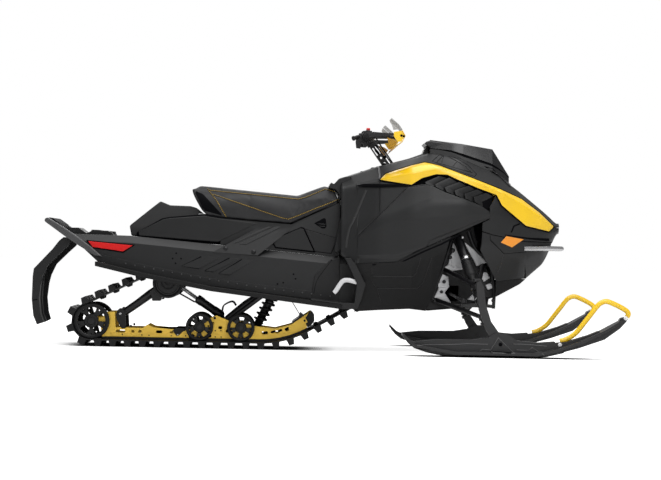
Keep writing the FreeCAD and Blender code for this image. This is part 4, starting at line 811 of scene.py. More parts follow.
def grid_faces(columns, rows, start=0, flip=False):
    """Quads of a grid whose vertices are numbered column by column."""
    first = start + np.arange(columns - 1)[:, None] * rows + np.arange(rows - 1)[None]
    quads = np.stack([first, first + rows, first + rows + 1, first + 1], -1).reshape(-1, 4)
    return (quads[:, ::-1] if flip else quads).tolist()


print("form at mid length", on_form(np.array([0.5]), np.array([[3]]))[0, 0].round(3))

# %% [markdown]
# A panel is a thin moulding, so its patch is given thickness inwards, and the rim's edges are
# rounded. The patch is drawn in a little from its lines, which leaves the dark gap that real
# panels have between them. Both sides come from one patch, so the machine stays symmetric.

# %% Cut a panel from the form
def panel_grid(low, high, rows=22, step=0.009, inset=0.0012, rise=0, relief=None, nose=False,
               ends=None):
    """Grid of points between two lines of (x, z). None as high means up over the middle line.

    rise moves it outwards; relief(x, z, v) adds to that, with v from 0 at low to 1 at high."""
    first, last = low[0][0], low[-1][0]
    knots = [x for x, _ in list(low) + list(high or []) if first <= x <= last]
    evenly = np.linspace(first, last, max(4, int((last - first) / step)))
    x = np.unique(np.round(np.concatenate([evenly, knots]), 5))
    x = x[np.concatenate([[True], np.diff(x) > 0.0006])]
    ends = inset if ends is None else ends
    squeeze = (last - first - 2 * ends) / (last - first)
    shown = first + ends + (x - first) * squeeze
    floor_z = section_rows(shown)[0][0]
    z_low = line_height(low, x) + inset
    t_low = np.where(z_low <= floor_z + 0.002, -1, round_at(shown, z_low))
    if high is None:
        t_high = np.full_like(x, 5)
    else:
        t_high = np.maximum(round_at(shown, line_height(high, x) - inset), t_low)
    v = np.linspace(0, 1, rows)
    t = t_low[:, None] + (t_high - t_low)[:, None] * v[None]
    points = on_form(shown, t)
    normal = outward(points)
    lift = np.full(t.shape, rise)
    if relief is not None:
        lift = lift + relief(points[:, :, 0], points[:, :, 2], np.repeat(v[None], len(x), 0))
    if high is None:
        normal[:, -1, 1] = 0
    points = points + normal * lift[:, :, None]
    if high is None:
        points[:, -1, 1] = 0
    if nose:
        ends = []
        for share in (0.8, 0.55, 0.28, 0):
            end = points[-1] * (1, share, 1)
            end[:, 0] += 0.012 * (1 - share ** 2)
            ends.append(end)
        points = np.concatenate([points, np.array(ends)])
    return points


def two_sided(points):
    """Vertices and faces of a right-hand grid with its mirror image."""
    columns, rows = points.shape[:2]
    flat = points.reshape(-1, 3)
    vertices = np.concatenate([flat, flat * MIRROR])
    faces = grid_faces(columns, rows) + grid_faces(columns, rows, len(flat), True)
    return vertices, faces


def weld(piece):
    """Merge the vertices that meet, so that seams and points are closed."""
    with edited(piece) as shape:
        bmesh.ops.remove_doubles(shape, verts=shape.verts, dist=1e-5)
        bmesh.ops.dissolve_degenerate(shape, dist=1e-6, edges=shape.edges)
    return piece


def thicken(piece, thickness, edge, angle=55):
    """Give a patch its wall inwards and round the edges of its rim."""
    wall = piece.modifiers.new("wall", "SOLIDIFY")
    wall.thickness, wall.offset = thickness, -1
    wall.use_even_offset = True
    wall.thickness_clamp = 1
    if edge:
        bevel = piece.modifiers.new("rim", "BEVEL")
        bevel.width, bevel.segments = edge, 2
        bevel.limit_method, bevel.angle_limit = "ANGLE", math.radians(angle)
        bevel.use_clamp_overlap = True
    return piece


def panel(name, low, high, slot, nodes=(), sides="both", thickness=0.004, paint=None,
          edge=0.0007, **shape):
    """A body panel between two lines, as one piece of both sides or of one side."""
    points = panel_grid(low, high, **shape)
    vertices, faces = two_sided(points)
    if sides != "both":
        left = sides == "left"
        vertices = np.split(vertices, 2)[int(left)]
        faces = grid_faces(*points.shape[:2], 0, left)
    piece = weld(new_piece(name, vertices, faces, slot, "chassis", nodes, paint))
    piece.data.set_sharp_from_angle(angle=math.radians(40))
    return thicken(piece, thickness, edge)


print("panel tools ready")

# %% [markdown]
# The lines between the panels, seen from the side, are the design itself: the yellow stripe
# that sweeps from the rider's knee to the nose, the dark vents below it, the big side cover,
# and the nose in two layers with a seam that drops towards the suspension.

# %% Lines between the panels
TRIM, BODY, DARK, STEEL = "trim_black", "body_black", "dark_line", "black_steel"
STRIPE_TOP = mm(242, 838, 274, 870, 330, 891, 400, 914, 464, 930, 537, 913, 819, 813, 944, 763,
    1038, 700, 1121, 630)
STRIPE_FOOT = mm(242, 838, 397, 815, 449, 849, 516, 869, 571, 868, 619, 846, 726, 805, 813, 776,
    839, 727, 909, 672, 965, 630, 1090, 605, 1121, 630)
STRIPE_FOLD = mm(242, 838, 400, 868, 516, 897, 571, 889, 700, 842, 813, 800, 944, 728, 1060, 660,
    1121, 630)
VENT_LOW = mm(379, 807, 473, 820, 505, 812, 562, 786, 735, 727, 778, 703, 813, 776)
VENT_HIGH = mm(379, 807, 397, 815, 449, 849, 516, 869, 571, 868, 619, 846, 726, 805, 813, 776)
SIDE_HIGH = mm(136, 431, 143, 562, 379, 807, 473, 820, 505, 812, 562, 786, 735, 727, 778, 700, 790,
    664)
SIDE_LOW = mm(136, 431, 329, 442, 448, 505, 592, 572, 790, 664)
NOSE_HIGH = mm(745, 642, 779, 659, 781, 722, 813, 776, 839, 727, 909, 672, 965, 630, 1090, 605,
    1121, 630, 1150, 629)
NOSE_SEAM = mm(745, 600, 800, 584, 963, 557, 1075, 554, 1150, 554)
NOSE_LOW = mm(740, 505, 828, 355, 940, 371, 1150, 368)


def tent(line, low, high, height):
    """Relief of a fold: highest along a line, falling straight to both edges of a panel."""
    def lift(x, z, v):
        crest, under, over = (line_height(points, x) for points in (line, low, high))
        rising = (z - under) / np.maximum(crest - under, 1e-4)
        falling = (over - z) / np.maximum(over - crest, 1e-4)
        room = np.clip((over - under) / 0.05, 0, 1.9)
        return height * np.clip(np.minimum(rising, falling), 0, 1) * room
    return lift


stripes = panel("side_stripes_finished", STRIPE_FOOT, STRIPE_TOP, "yellow", ["side_stripes"],
    rows=25, step=0.008, rise=0.0035, thickness=0.007, inset=0.002, relief=tent(STRIPE_FOLD,
    STRIPE_FOOT, STRIPE_TOP, 0.011))
print("stripe faces", len(stripes.data.polygons))

# %% [markdown]
# The hood, the console round the steering post and the nose close over the middle line. The
# side covers carry a flange along their lower edge that steps inwards, and a long raised ridge
# across them, both made as relief on the same patch.

# %% Hood, console, side covers and nose
def step_below(line, depth, blend=0.012):
    """Relief that drops by a depth below a line of (x, z)."""
    def lift(x, z, v):
        return -depth * np.clip((line_height(line, x) - z) / blend, 0, 1)
    return lift


def ridge(line, height, reach):
    """Relief of a rounded ridge along a line of (x, z), fading within a reach each way."""
    def lift(x, z, v):
        away = np.abs(z - line_height(line, x)) / reach
        return height * np.clip(1 - away, 0, 1) ** 1.5
    return lift


def together(*reliefs):
    """Sum of several reliefs."""
    def lift(x, z, v):
        return sum(part(x, z, v) for part in reliefs)
    return lift


WELL_FOOT, WELL_TOP = Vector((0.330, 0, 0.866)), Vector((0.204, 0, 1.044))
WELL_RADIUS = 0.048


def opened(piece, start, end, radius, sides=48):
    """Cut a round hole through a piece along a line, and keep the result as its mesh."""
    ring = radius * around(end - start, full_turn(sides))
    cut_with(piece, prism(ring + end, ring + start), "DIFFERENCE")


post_axis = (WELL_TOP - WELL_FOOT).normalized()
well_start, well_end = WELL_FOOT - post_axis * 0.02, WELL_FOOT + post_axis * 0.16
HOOD_LOW = STRIPE_TOP + [(1.150, 0.629)]


def hood_relief(x, z, v):
    """A raised middle that starts behind the visor and a shallow scoop beside it."""
    along = np.clip((x - 0.25) / 0.2, 0, 1) * np.clip((0.98 - x) / 0.2, 0, 1)
    middle = np.clip((v - 0.72) / 0.05, 0, 1)
    scoop = np.exp(-((v - 0.62) / 0.08) ** 2)
    return 0.006 * along * middle - 0.004 * along * scoop


hood = panel("hood_finished", HOOD_LOW, None, BODY, ["hood"], rows=40, step=0.01,
    inset=0.0015, ends=0, edge=0, nose=True, relief=hood_relief)
opened(hood, well_start, well_end, WELL_RADIUS)
CONSOLE_LOW = mm(60, 470, 126, 424, 136.5, 434, 143, 562, 379, 807, 397, 815)
rear_top = panel("console_finished", CONSOLE_LOW[:4] + [(0.25, 0.673)], None, BODY,
    ["console"], rows=44, step=0.008, inset=0.0006, ends=0, edge=0, rise=-0.0008)
opened(rear_top, well_start, well_end, WELL_RADIUS)
panel("console_knee", mm(241.5, 665, 379, 807, 397, 815), mm(241.5, 837.5, 397, 815),
    BODY, rows=16, step=0.008, inset=0.0006, ends=0, edge=0)
SIDE_STEP = mm(136, 470, 330, 476, 470, 520, 486, 556, 768, 672, 790, 680)
for side in ("right", "left"):
    panel(f"side_panel_{side}_finished", SIDE_LOW, SIDE_HIGH, BODY, [f"side_panel_{side}"],
        sides=side, rows=56, step=0.007, rise=0.002, thickness=0.006, inset=0.002, edge=0.0012,
        relief=together(step_below(SIDE_STEP, 0.007), ridge(mm(143, 562, 300, 640, 790, 690),
        0.004, 0.12)))
panel("nose_upper_finished", NOSE_SEAM, NOSE_HIGH, BODY, ["nose_upper"],
    rows=26, step=0.008, inset=0.0016, nose=True)
panel("nose_lower_finished", NOSE_LOW, mm(740, 505, 745, 598) + NOSE_SEAM[1:],
    BODY, ["nose_lower"], rows=34, step=0.009, inset=0.0016, nose=True)
print("panels of the hood, console, sides and nose ready")

# %% [markdown]
# Thin parts lie on the panels: the dark edging of the stripe, the access cover with its
# double outline, the plate round the side reflector and the ledge under the stripe's tail.
# A ribbon is two lines on the form, offset to each side, so it hugs the surface like tape.

# %% Ribbons and plates on the form
def ribbon(name, line, width, rise, slot, paint=None, height=0.0012, closed=False):
    """A flat strip with bevelled sides along a line on both sides of the body.

    Its section has five points: foot, shoulder, top, shoulder, foot."""
    if closed:
        line = list(line) + [line[0]]
    centre, normal = form_points(*spaced(line, 0.008, True))
    centre = centre + normal * rise
    if closed:
        centre, normal = centre[:-1], normal[:-1]
        tangent = np.roll(centre, -1, 0) - np.roll(centre, 1, 0)
    else:
        tangent = np.gradient(centre, axis=0)
    across_line = np.cross(normal, unit(tangent))
    section = np.array([(-0.5, -1.5), (-0.42, 0), (0, 0.15), (0.42, 0), (0.5, -1.5)])
    points = (centre[:, None] + across_line[:, None] * section[None, :, :1] * width
              + normal[:, None] * section[None, :, 1:] * height)
    if closed:
        points = np.concatenate([points, points[:1]])
    return weld(new_piece(name, *two_sided(points[:, ::-1]), slot, paint=paint))


ribbon("stripe_edging", STRIPE_TOP[:-1] + [(1.118, 0.633)], 0.0056, 0.0052,
    TRIM, DARK)
ribbon("stripe_foot_edging", STRIPE_FOOT, 0.0056, 0.0052, TRIM, DARK)
ACCESS = mm(501, 939, 559, 990, 627, 958, 680, 926, 721, 881, 709, 868, 662, 881, 540, 922)
# A near-black ribbon round the access cover paints the shadow in its gap.
ribbon("access_cover_gap_shadow", ACCESS, 0.0035, 0.0006, TRIM, DARK, closed=True)
ACCESS_INNER = mm(522, 934, 567, 976, 620, 948, 664, 920, 698, 888, 600, 913)
ribbon("access_cover_rim", ACCESS_INNER, 0.0030, 0.0024, BODY, "visor", closed=True)
ribbon("access_cover_rib", mm(566, 972, 552, 945, 545, 927), 0.003, 0.002, BODY, "visor")
ribbon("access_cover_rib_front", mm(628, 944, 606, 920, 600, 912), 0.003, 0.002, BODY,
    "visor")
PLATE_LOW = mm(786, 560, 860, 493.5, 974, 505, 1012, 546)
PLATE_HIGH = mm(786, 586, 800, 582, 963, 555, 1012, 550)
panel("reflector_plate", PLATE_LOW, PLATE_HIGH, BODY, rows=12, step=0.008, rise=0.0035,
    thickness=0.005, inset=0.0015)
# A near-black ribbon along the plate's lower edge paints the shadow in its gap.
ribbon("reflector_plate_gap_shadow", PLATE_LOW, 0.003, 0.0006, TRIM, DARK)
panel("stripe_ledge", mm(132, 805.5, 251, 804, 395, 811), mm(132, 807.5, 169, 818.5, 369, 818.5,
    395, 815.5), TRIM, rows=6, step=0.01, rise=0.007, thickness=0.009, inset=0.0003,
    paint=DARK)
# Near-black liners sunk behind the vents and the nose paint the shade seen through their openings.
LINER_LOW = mm(225, 640, 379, 775, 473, 790, 562, 757, 735, 698, 800, 690)
LINER_HIGH = mm(225, 826, 330, 868, 449, 885, 571, 886, 726, 823, 800, 792)
panel("vent_shade_liner", LINER_LOW, LINER_HIGH, TRIM, rows=10, step=0.02, rise=-0.017,
    thickness=0.003, inset=0, paint=DARK)
panel("nose_shade_liner", mm(830, 560, 1090, 490, 1104, 520), mm(830, 700, 1090, 596, 1104, 596),
    TRIM, rows=10, step=0.02, rise=-0.009, thickness=0.003, inset=0, paint=DARK,
    nose=True)
panel("nose_ledge", mm(862, 582, 990, 566, 1094, 560), mm(862, 587, 990, 574.5, 1094, 573.5),
    TRIM, rows=6, step=0.01, rise=0.004, thickness=0.006, inset=0.0003, paint=DARK)
# The console reaches back over the cushion with a hooked edge, and a wing closes the side
# between the seat base and the knee.
HOOK = mm(-3, 800, 11, 829, 25, 819, 48, 846, 75, 856, 110, 862, 110, 790, 76, 766, 46, 724, 54,
    767, 34, 794)
made("console_hook", plate(HOOK, -0.15, 0.15), BODY, 0.006, 30, 3)
WING = mm(88, 742, 55, 738, 52, 728, 68, 690, 46, 578, 34, 520, 32, 480, 48, 484, 70, 500, 88, 500)
paired("console_wing", plate(WING, -0.12, -0.2075), BODY, 0.005, 30, 3)
BUMP = mm(-16, -14, -5, 3, 6, 4, 12, -6, 12, -14)
for index, place in enumerate(mm(164, 886, 218, 906)):
    made(f"console_bump_{index}", plate(np.add(place, BUMP), -0.072, 0.072), TRIM, 0.0015)
# A lighter ribbon along the knee's fold is a painted highlight, where the fold catches the light.
KNEE_HIGHLIGHT_LINE = mm(180, 790, 156, 729, 127, 656, 100, 599, 89, 543, 86, 507)
ribbon("knee_painted_highlight", KNEE_HIGHLIGHT_LINE, 0.011, 0.0009, BODY, "painted_highlight_sheen", height=0.0006)
FLANGE = mm(214, 427, 333, 432, 377, 454, 457, 495, 542, 533, 630, 579)
ribbon("side_flange_shadow", FLANGE, 0.0085, 0.0009, BODY, DARK, height=0.0006)
# The nose slots are near-black ribbons: painted shade in the slot's recess.
ARROW = mm(846, 728, 886, 694, 930, 657)
ribbon("nose_slot", ARROW, 0.008, 0.0012, TRIM, DARK)
ribbon("nose_slot_wing", mm(893, 598, 906, 630, 936, 642), 0.008, 0.0012, TRIM,
    DARK)
ribbon("nose_crease", mm(858, 489, 846, 440, 830, 392), 0.0025, 0.001, BODY, "visor")
ribbon("side_panel_edge_line", mm(143, 563.5, 379, 808.5, 470, 821), 0.0035, 0.003, BODY,
    "visor")
print("ribbons and plates ready")

# %% [markdown]
# The vents are a dark grille: a sunk near-black backing, painted shade inside the vent, with
# chevron blades over it, each blade's tip pointing back. A blade fills the space between two
# chevrons like a shingle: it stands proud at its rear edge and dives under the next, so each
# one throws one clear shadow.

# %% Chevron vents
panel("side_vents_finished", VENT_LOW, VENT_HIGH, TRIM, ["side_vents"], rows=14,
    step=0.009, rise=-0.013, thickness=0.003, paint=DARK)


def shingle(first, second, proud, sunk, deep):
    """Closed points of one blade between two chevrons of (tip, upper end, lower end): its
    rear edge stands proud and its front edge dives under the next blade."""
    at = np.array([0, 0.35, 0.70, 0.94, 1, 1.06, 1.30, 1.65, 2])
    sides = []
    for tip, upper, lower in (first, second):
        line = np.array([lower, tip, upper])
        sides.append([np.interp(at, [0, 1, 2], line[:, k]) for k in (0, 1)])
    rows = []
    for share, lift in ((0, -deep), (0, proud - 0.001), (0.04, proud), (0.30, proud - 0.001),
                        (1, sunk), (1, -deep)):
        x = sides[0][0] * (1 - share) + sides[1][0] * share
        z = sides[0][1] * (1 - share) + sides[1][1] * share
        here, normal = form_points(x, z)
        rows.append(here + normal * lift)
    rows.append(rows[0])
    return np.array(rows).transpose(1, 0, 2)


# Each chevron: its tip, its upper end and its lower end.
CHEVRONS = np.reshape(mm(462, 834, 528, 864, 466, 824, 510, 824, 578, 858, 513, 811, 557, 810, 628,
    838, 566, 789, 605, 796, 674, 820, 612, 773, 655, 780, 718, 803, 660, 757, 702, 765, 762, 788,
    707, 741, 748, 748, 803, 774, 752, 723), (-1, 3, 2))
blades = gather(*[two_sided(shingle(first, second, 0.0005, -0.0125, 0.0145))
                  for first, second in zip(CHEVRONS, CHEVRONS[1:])])
grille = weld(new_piece("vent_blades", *blades, TRIM, paint=BODY))
with edited(grille) as shape:
    bmesh.ops.holes_fill(shape, edges=[e for e in shape.edges if e.is_boundary], sides=16)
    bmesh.ops.recalc_face_normals(shape, faces=shape.faces)
grille.data.set_sharp_from_angle(angle=math.radians(30))
print("vent blades:", 2 * len(CHEVRONS) - 2)

# %% [markdown]
# ## The seat
# A vinyl cover is pulled over foam: its faces bulge a little between seams, and its edges are
# round where the foam pushes them out. A bevelled block never looks soft, so the cushion
# starts as a slightly small form, its cover is inflated as cloth, and the result is kept as
# plain mesh. The form is a row of rings: at each place along the seat a closed outline whose
# half width narrows with height.

# %% The seat's form
SEAT_TOP = mm(-678, 793, -597, 788, -152, 751, -12, 807, 39, 793, 58, 733)
SEAT_LOW = mm(-678, 790, -616, 674, -606, 657, -527, 641.4, -381, 629, -180, 617, -121, 646, 58,
    730)
SEAT_WIDTH = mm(560, 165, 690, 165, 740, 153, 780, 135, 812, 122)


def seat_form(shrink, columns=72, rows=40):
    """Closed rings of (y, z) along x: up the side, over the crowned top, down the other side
    and back along the flat bottom, all drawn in by a shrink."""
    x = np.linspace(-0.676 + shrink, 0.056 - shrink, columns)
    top = rounded(x, *np.array(SEAT_TOP).T, 0.012) - shrink
    low = np.minimum(rounded(x, *np.array(SEAT_LOW).T, 0.005) - 0.002, top - 0.006)
    heights, widths = np.array(SEAT_WIDTH).T
    at = np.linspace(0, 1, rows // 2)
    rise = np.clip(at / 0.62, 0, 1) ** 0.9
    z = low[:, None] + (top - low)[:, None] * rise[None]
    half = np.interp(z, heights, widths) - shrink
    inward = np.clip((at - 0.62) / 0.38, 0, 1)
    y = half * (1 - inward[None])
    z = z + 0.006 * np.sin(np.pi * inward / 2)[None] * np.clip((top - low)[:, None] / 0.05, 0, 1)
    right = np.stack([np.repeat(x[:, None], len(at), 1), -y, z], -1)
    left = right[:, ::-1] * MIRROR
    ring = np.concatenate([right, left[:, 1:]], 1)
    count = ring.shape[1]
    return ring.reshape(-1, 3), ring_faces(columns, count)


cushion = new_piece("seat_cushion", *seat_form(0.004), "seat_cover", nodes=["seat"])
fix_normals(weld(cushion))
print("seat form faces", len(cushion.data.polygons))

# %% [markdown]
# The cover is remeshed to an even net, blown up a little with gravity off, and held to at
# most eight millimetres of travel. The simulation runs for twenty frames and is then applied.

# %% Inflate the cover
CLOTH_FRAMES = 20


def inflate(piece, voxel, pressure, cap):
    """Cloth under pressure: keep the mesh, but let no point travel further than the cap."""
    net = piece.modifiers.new("net", "REMESH")
    net.mode, net.voxel_size = "VOXEL", voxel
    mesh = applied(piece)
    count = len(mesh.vertices)
    before = np.zeros(count * 3)
    mesh.vertices.foreach_get("co", before)
    before = before.reshape(-1, 3)
    cloth = piece.modifiers.new("cover", "CLOTH")
    cloth.settings.use_pressure = True
    cloth.settings.uniform_pressure_force = pressure
    cloth.settings.effector_weights.gravity = 0
    cloth.settings.tension_stiffness = cloth.settings.compression_stiffness = 25
    scene = bpy.context.scene
    for moment in range(1, CLOTH_FRAMES + 1):
        scene.frame_set(moment)
    after = np.zeros(count * 3)
    evaluated(piece).data.vertices.foreach_get("co", after)
    travel = after.reshape(-1, 3) - before
    reach = np.linalg.norm(travel, axis=1, keepdims=True)
    travel *= np.minimum(1, cap / np.maximum(reach, 1e-9))
    piece.modifiers.clear()
    scene.frame_set(1)
    mesh.vertices.foreach_set("co", (before + travel).ravel())
    mesh.update()
    print("cover travelled at most", round(float(reach.max()) * 1000, 1), "mm before the cap")


inflate(cushion, 0.006, 4, 0.008)
finish_mesh(cushion.data, "seat_cover")
even = cushion.modifiers.new("even", "SMOOTH")
even.factor, even.iterations = 0.5, 3
print("cushion faces", len(cushion.data.polygons))

# %% [markdown]
# Twin-needle stitching runs along the panels of the cover in a thread of its own colour. Each
# stitch is a short bead lying in a pressed seam. The seam's line is known from the side, and
# rays shot inwards find where it lies on the finished cover.

# %% Seams and stitches
tree = BVHTree.FromObject(cushion, bpy.context.evaluated_depsgraph_get())


def seam_points(line, step, side):
    """Points and normals on the cover, evenly spaced along a line of (x, z) on one side."""
    found = [shot(tree, x, z, side) for x, z in zip(*spaced(line, step))]
    hits = np.array([pair for pair in found if pair[0] is not None])
    return hits[:, 0], hits[:, 1]


SEAMS = [mm(-566, 755, -221, 646, -196, 642, -171, 651, 50, 745), mm(-597, 783, -548, 722, -501,
    646), mm(-590, 776, -400, 761, -152, 741, -110, 752, -16, 794, 30, 782)]
beads, seam_shadows = [], []
for line in SEAMS:
    for side in (-1, 1):
        centre, normal = seam_points(line, 0.0090, side)
        profile = mm(-4, 0, -3, 1.4, 0, 1.9, 3, 1.4, 4, 0)
        for place, out, ahead in zip(centre, normal, unit(np.gradient(centre, axis=0))):
            beads.append(turned(profile, place + out * 0.0014, ahead, 6))
        # Under the stitches a near-black tube paints the shade in the pressed seam.
        path = smooth_path(centre + normal * 0.0001, len(centre))
        seam_shadows.append(tube(path, 0.0026, 6))
made("seat_stitches", gather(*beads), "seat_cover", paint="thread")
made("seat_seam_shadows", gather(*seam_shadows), "seat_cover", paint=DARK)
print("stitches", len(beads))

# %% [markdown]
# Behind the rear seam a firm black insert fills the cushion's tail, where the cover is pulled
# over the seat's end and fastened. It follows the cover, so rays find its place as well.

# %% The insert in the seat's tail
def cover_patch(low_line, high_line, side, rise, rows=10, columns=16):
    """A thin pad on the cover between two lines of (x, z)."""
    blend = np.linspace(0, 1, rows)[:, None, None]
    at = np.linspace(0, 1, columns)
    lines = [np.stack([np.interp(at, np.linspace(0, 1, len(line)), row) for row in np.transpose(
        line)], 1) for line in (low_line, high_line)]
    flat = (lines[0][None] * (1 - blend) + lines[1][None] * blend).reshape(-1, 2)
    outer = []
    for x, z in flat:
        hit, normal = shot(tree, x, z, side)
        outer.append(hit + normal * rise if hit is not None else Vector((x, side * 0.14, z)))
    outer = np.array(outer)
    inner = outer - (0, side * 0.012, 0)
    grid = np.arange(rows * columns).reshape(rows, columns)
    quads = np.stack([grid[:-1, :-1], grid[:-1, 1:], grid[1:, 1:], grid[1:, :-1]], -1)
    quads = quads.reshape(-1, 4)
    rim = np.concatenate([grid[0], grid[1:, -1], grid[-1, -2::-1], grid[-2:0:-1, 0]])
    after, count = np.roll(rim, -1), rows * columns
    walls = np.stack([rim, after, after + count, rim + count], -1)
    faces = quads.tolist() + (quads[:, ::-1] + count).tolist() + walls.tolist()
    return np.concatenate([outer, inner]), faces


insert = made("seat_tail_insert", gather(*[cover_patch(mm(-656, 762, -612, 676, -522, 652),
    mm(-652, 770, -618, 757, -526, 662), side, 0.0008) for side in (-1, 1)]), "seat_cover",
    paint=DARK)
print("tail insert faces", len(insert.data.polygons))

# %% [markdown]
# A black piping closes the front of the cover where it meets the console, and a firm plastic
# base carries the cushion with a lip all along.

# %% Piping, base details and brackets
piping = []
for side in (-1, 1):
    edge, normal = seam_points(mm(46, 782, 52, 760, 50, 742, -20, 706, -118, 657), 0.012, side)
    piping.append(tube(smooth_path(edge + normal * 0.001, 60), 0.0042, 8))
made("seat_piping", gather(*piping), TRIM)


def gapped(name, outline, y, rise, slot, paint=None, gap=0.0045, width=0.0022):
    """A panel plate standing out from y on both sides, over a near-black plate a little larger,
    painted shadow that reads as the gap around it."""
    outline = np.array(outline, float)
    middle = outline.mean(0)
    shadow_outline = middle + (outline - middle) * (1 + gap / np.abs(outline - middle).mean(0))
    # The larger near-black plate is painted shadow for the gap around the panel.
    paired(name + "_gap", plate(shadow_outline, y + 0.01, y - 0.0012), slot, paint=DARK)
    return paired(name, plate(outline, y + 0.010, y - rise), slot, width, 28, 3, paint=paint)


BASE_Y = -0.165
gapped("seat_base_pod", mm(-265, 520, -258, 540, -246, 549, -135, 598, -121, 594, -68, 487, -254,
    503), BASE_Y, 0.009, TRIM, BODY)
gapped("seat_base_knee", mm(-114, 594, -62, 486, 18, 478, 46, 552), BASE_Y, 0.004, TRIM,
    TRIM, 0.002)
# The vent's plate is near-black, painted shade behind its slats.
gapped("seat_base_vent", mm(-64, 624, -50, 632, -22, 648, -14, 644, -10, 612, -16, 603, -30, 603),
    BASE_Y, 0.0015, TRIM, DARK, 0.002)
slats = [mirrored(plate(outline, BASE_Y, BASE_Y - 0.0045)) for outline in (mm(-58, 622, -34, 624,
    -13, 622, -13, 617, -36, 619), mm(-48, 614, -30, 612, -14, 613, -15, 608, -32, 607))]
made("seat_base_vent_slats", gather(*slats), TRIM, 0.0008, paint=BODY)
print("seat base details ready")

# %% [markdown]
# ## Tunnel, tail and luggage cover
# The tunnel is one sheet folded over the track. What makes it read as sheet metal are its
# pressed grooves, the row of rivets along the running board, and the brackets bolted to it.

# %% Rivets, grooves and flange
TUNNEL_SIDE, RIVET_GAP = 0.208, 0.0455
RIVET_LINE = mm(-985, 407, -786, 373, -600, 342, -316, 302, 20, 268)
xs = np.arange(-0.985, 0.020, RIVET_GAP)
rivets = [(x, -(TUNNEL_SIDE + 0.0032), line_height(RIVET_LINE, x)) for x in xs]
paired("tunnel_rivets", heads(rivets, 0.0042, 0.0026, sides=10), "tunnel_black",
    paint="bumper_grey")
plugs = [(x, -(TUNNEL_SIDE + 0.0002), z) for x, z in mm(-757, 437, -742, 414, -716, 437, -740, 463,
    -636, 404, -165, 372, -155, 350, -215, 330, -243, 323)]
paired("tunnel_plugs", heads(plugs, 0.0042, 0.0014, sides=10), "tunnel_black", paint=DARK)
STAMPS = [mm(-712, 400, -618, 449, -520, 449, -627, 390), mm(-597, 380, -480, 445, -430, 443, -556,
    376), mm(-530, 368, -420, 439, -366, 434, -478, 362)]
proud = np.array([0.0062, 0.0006, 0.0006, 0.0062])
stamps = [mirrored(plate(outline, -TUNNEL_SIDE - proud, -TUNNEL_SIDE + 0.002))
          for outline in STAMPS]
made("tunnel_pressings", gather(*stamps), "tunnel_black", 0.0014, 25, 3)
FRONT_SEAL = mm(22, 446, -21, 389, -52, 339, -65, 278)
# Near-black lines along two edges of each pressing are painted shadow; the curved strip at the
# front is a dark rubber seal.
pressing_shadows_and_seal = [tube([(x, -TUNNEL_SIDE - 0.0012, z) for x, z in (top, foot, toe)], 0.0024, 8)
         for foot, top, _, toe in STAMPS]
seal = smooth_path([(x, -TUNNEL_SIDE - 0.001, z) for x, z in FRONT_SEAL], 30)
pressing_shadows_and_seal.append(tube(seal, 0.0045, 8))
paired("tunnel_pressing_shadows_and_seal", gather(*pressing_shadows_and_seal), "tunnel_black", paint=DARK)
FLANGE = mm(-1118, 416.5, -900, 366.5, -600, 312.5, -300, 278, 60, 240)
flange = []
for (xa, za), (xb, zb) in zip(FLANGE, FLANGE[1:]):
    flange.append(plate([(xa, za - 0.001), (xb, zb - 0.001), (xb, zb + 0.037), (xa, za + 0.037)],
        -TUNNEL_SIDE + 0.001, -TUNNEL_SIDE - 0.0035))
soften(weld(paired("tunnel_flange", gather(*flange), "tunnel_black")), 0.0012)
print("rivets", 2 * len(rivets + plugs))

# %% [markdown]
# The seat's brackets lean inwards from the tunnel to the seat base. Each has a pressed pair of
# ribs and two bolts. Fuel and luggage covers are moulded boxes, with a facet on their flank.

# %% Brackets, bolts and covers
def bracket_y(z):
    """Depth of the bracket's outer face at a height: it leans from tunnel to seat base."""
    return np.interp(z, [0.466, 0.612], [-0.2133, -0.1585])


RIBS = [mm(-464, 519, -447, 519, -275, 602, -296, 605), mm(-433, 514, -399, 513, -229, 603, -256,
    606)]
ribs = []
for outline in RIBS:
    leaning = bracket_y(np.array(outline)[:, 1])
    ribs.append(mirrored(plate(outline, leaning - 0.0035, leaning + 0.004)))
made("bracket_ribs", gather(*ribs), TRIM, 0.0022, 30, 3, paint=BODY)
bolts = [(x, float(bracket_y(z)) - 0.0015, z) for x, z in ((-0.500, 0.489), (-0.363, 0.477))]
washers = gather(*[turned(mm(0, 0, 0, 11.5, 2, 11.5, 2, 0), (x, y + 0.001, z), (0, -1, 0), 20)
                   for x, y, z in bolts])
paired("bracket_bolts", gather(heads(bolts, 0.0085, 0.006, sides=6), washers), STEEL)

gapped("cover_flank", mm(-926, 546, -928, 566, -810, 628, -780, 634, -609, 650, -526, 637, -345,
    619, -538, 522), -0.16, 0.0075, TRIM, BODY, 0.007, 0.004)
PULL = mm(-640, 653, -636, 660, -600, 660, -596, 653)
paired("cover_pull", plate(PULL, -0.12, -0.15), "steel", 0.001)
latch = [plate(mm(-1173, 545, -1173, 560, -1168, 571, -1136, 570.5, -1092, 566, -1090, 545), -0.06,
    0.06), plate(mm(-1094, 545, -1094, 565.5, -1056, 564.5, -1057, 545), -0.052, 0.052)]
made("deck_latch", gather(*latch), TRIM, 0.002)
HOOK = mm(-1160, 556, -1156, 564, -1120, 562, -1116, 554)
paired("deck_latch_hooks", plate(HOOK, -0.0595, -0.0625), TRIM, 0.001, paint="edge_grey")

# %% [markdown]
# The snow flap hangs as a bent moulding with a flange along both sides, a web between them and
# two ribs. The rear bumper is a flattened band on each side joined by a round bar. The side
# reflectors lie in a dark frame.

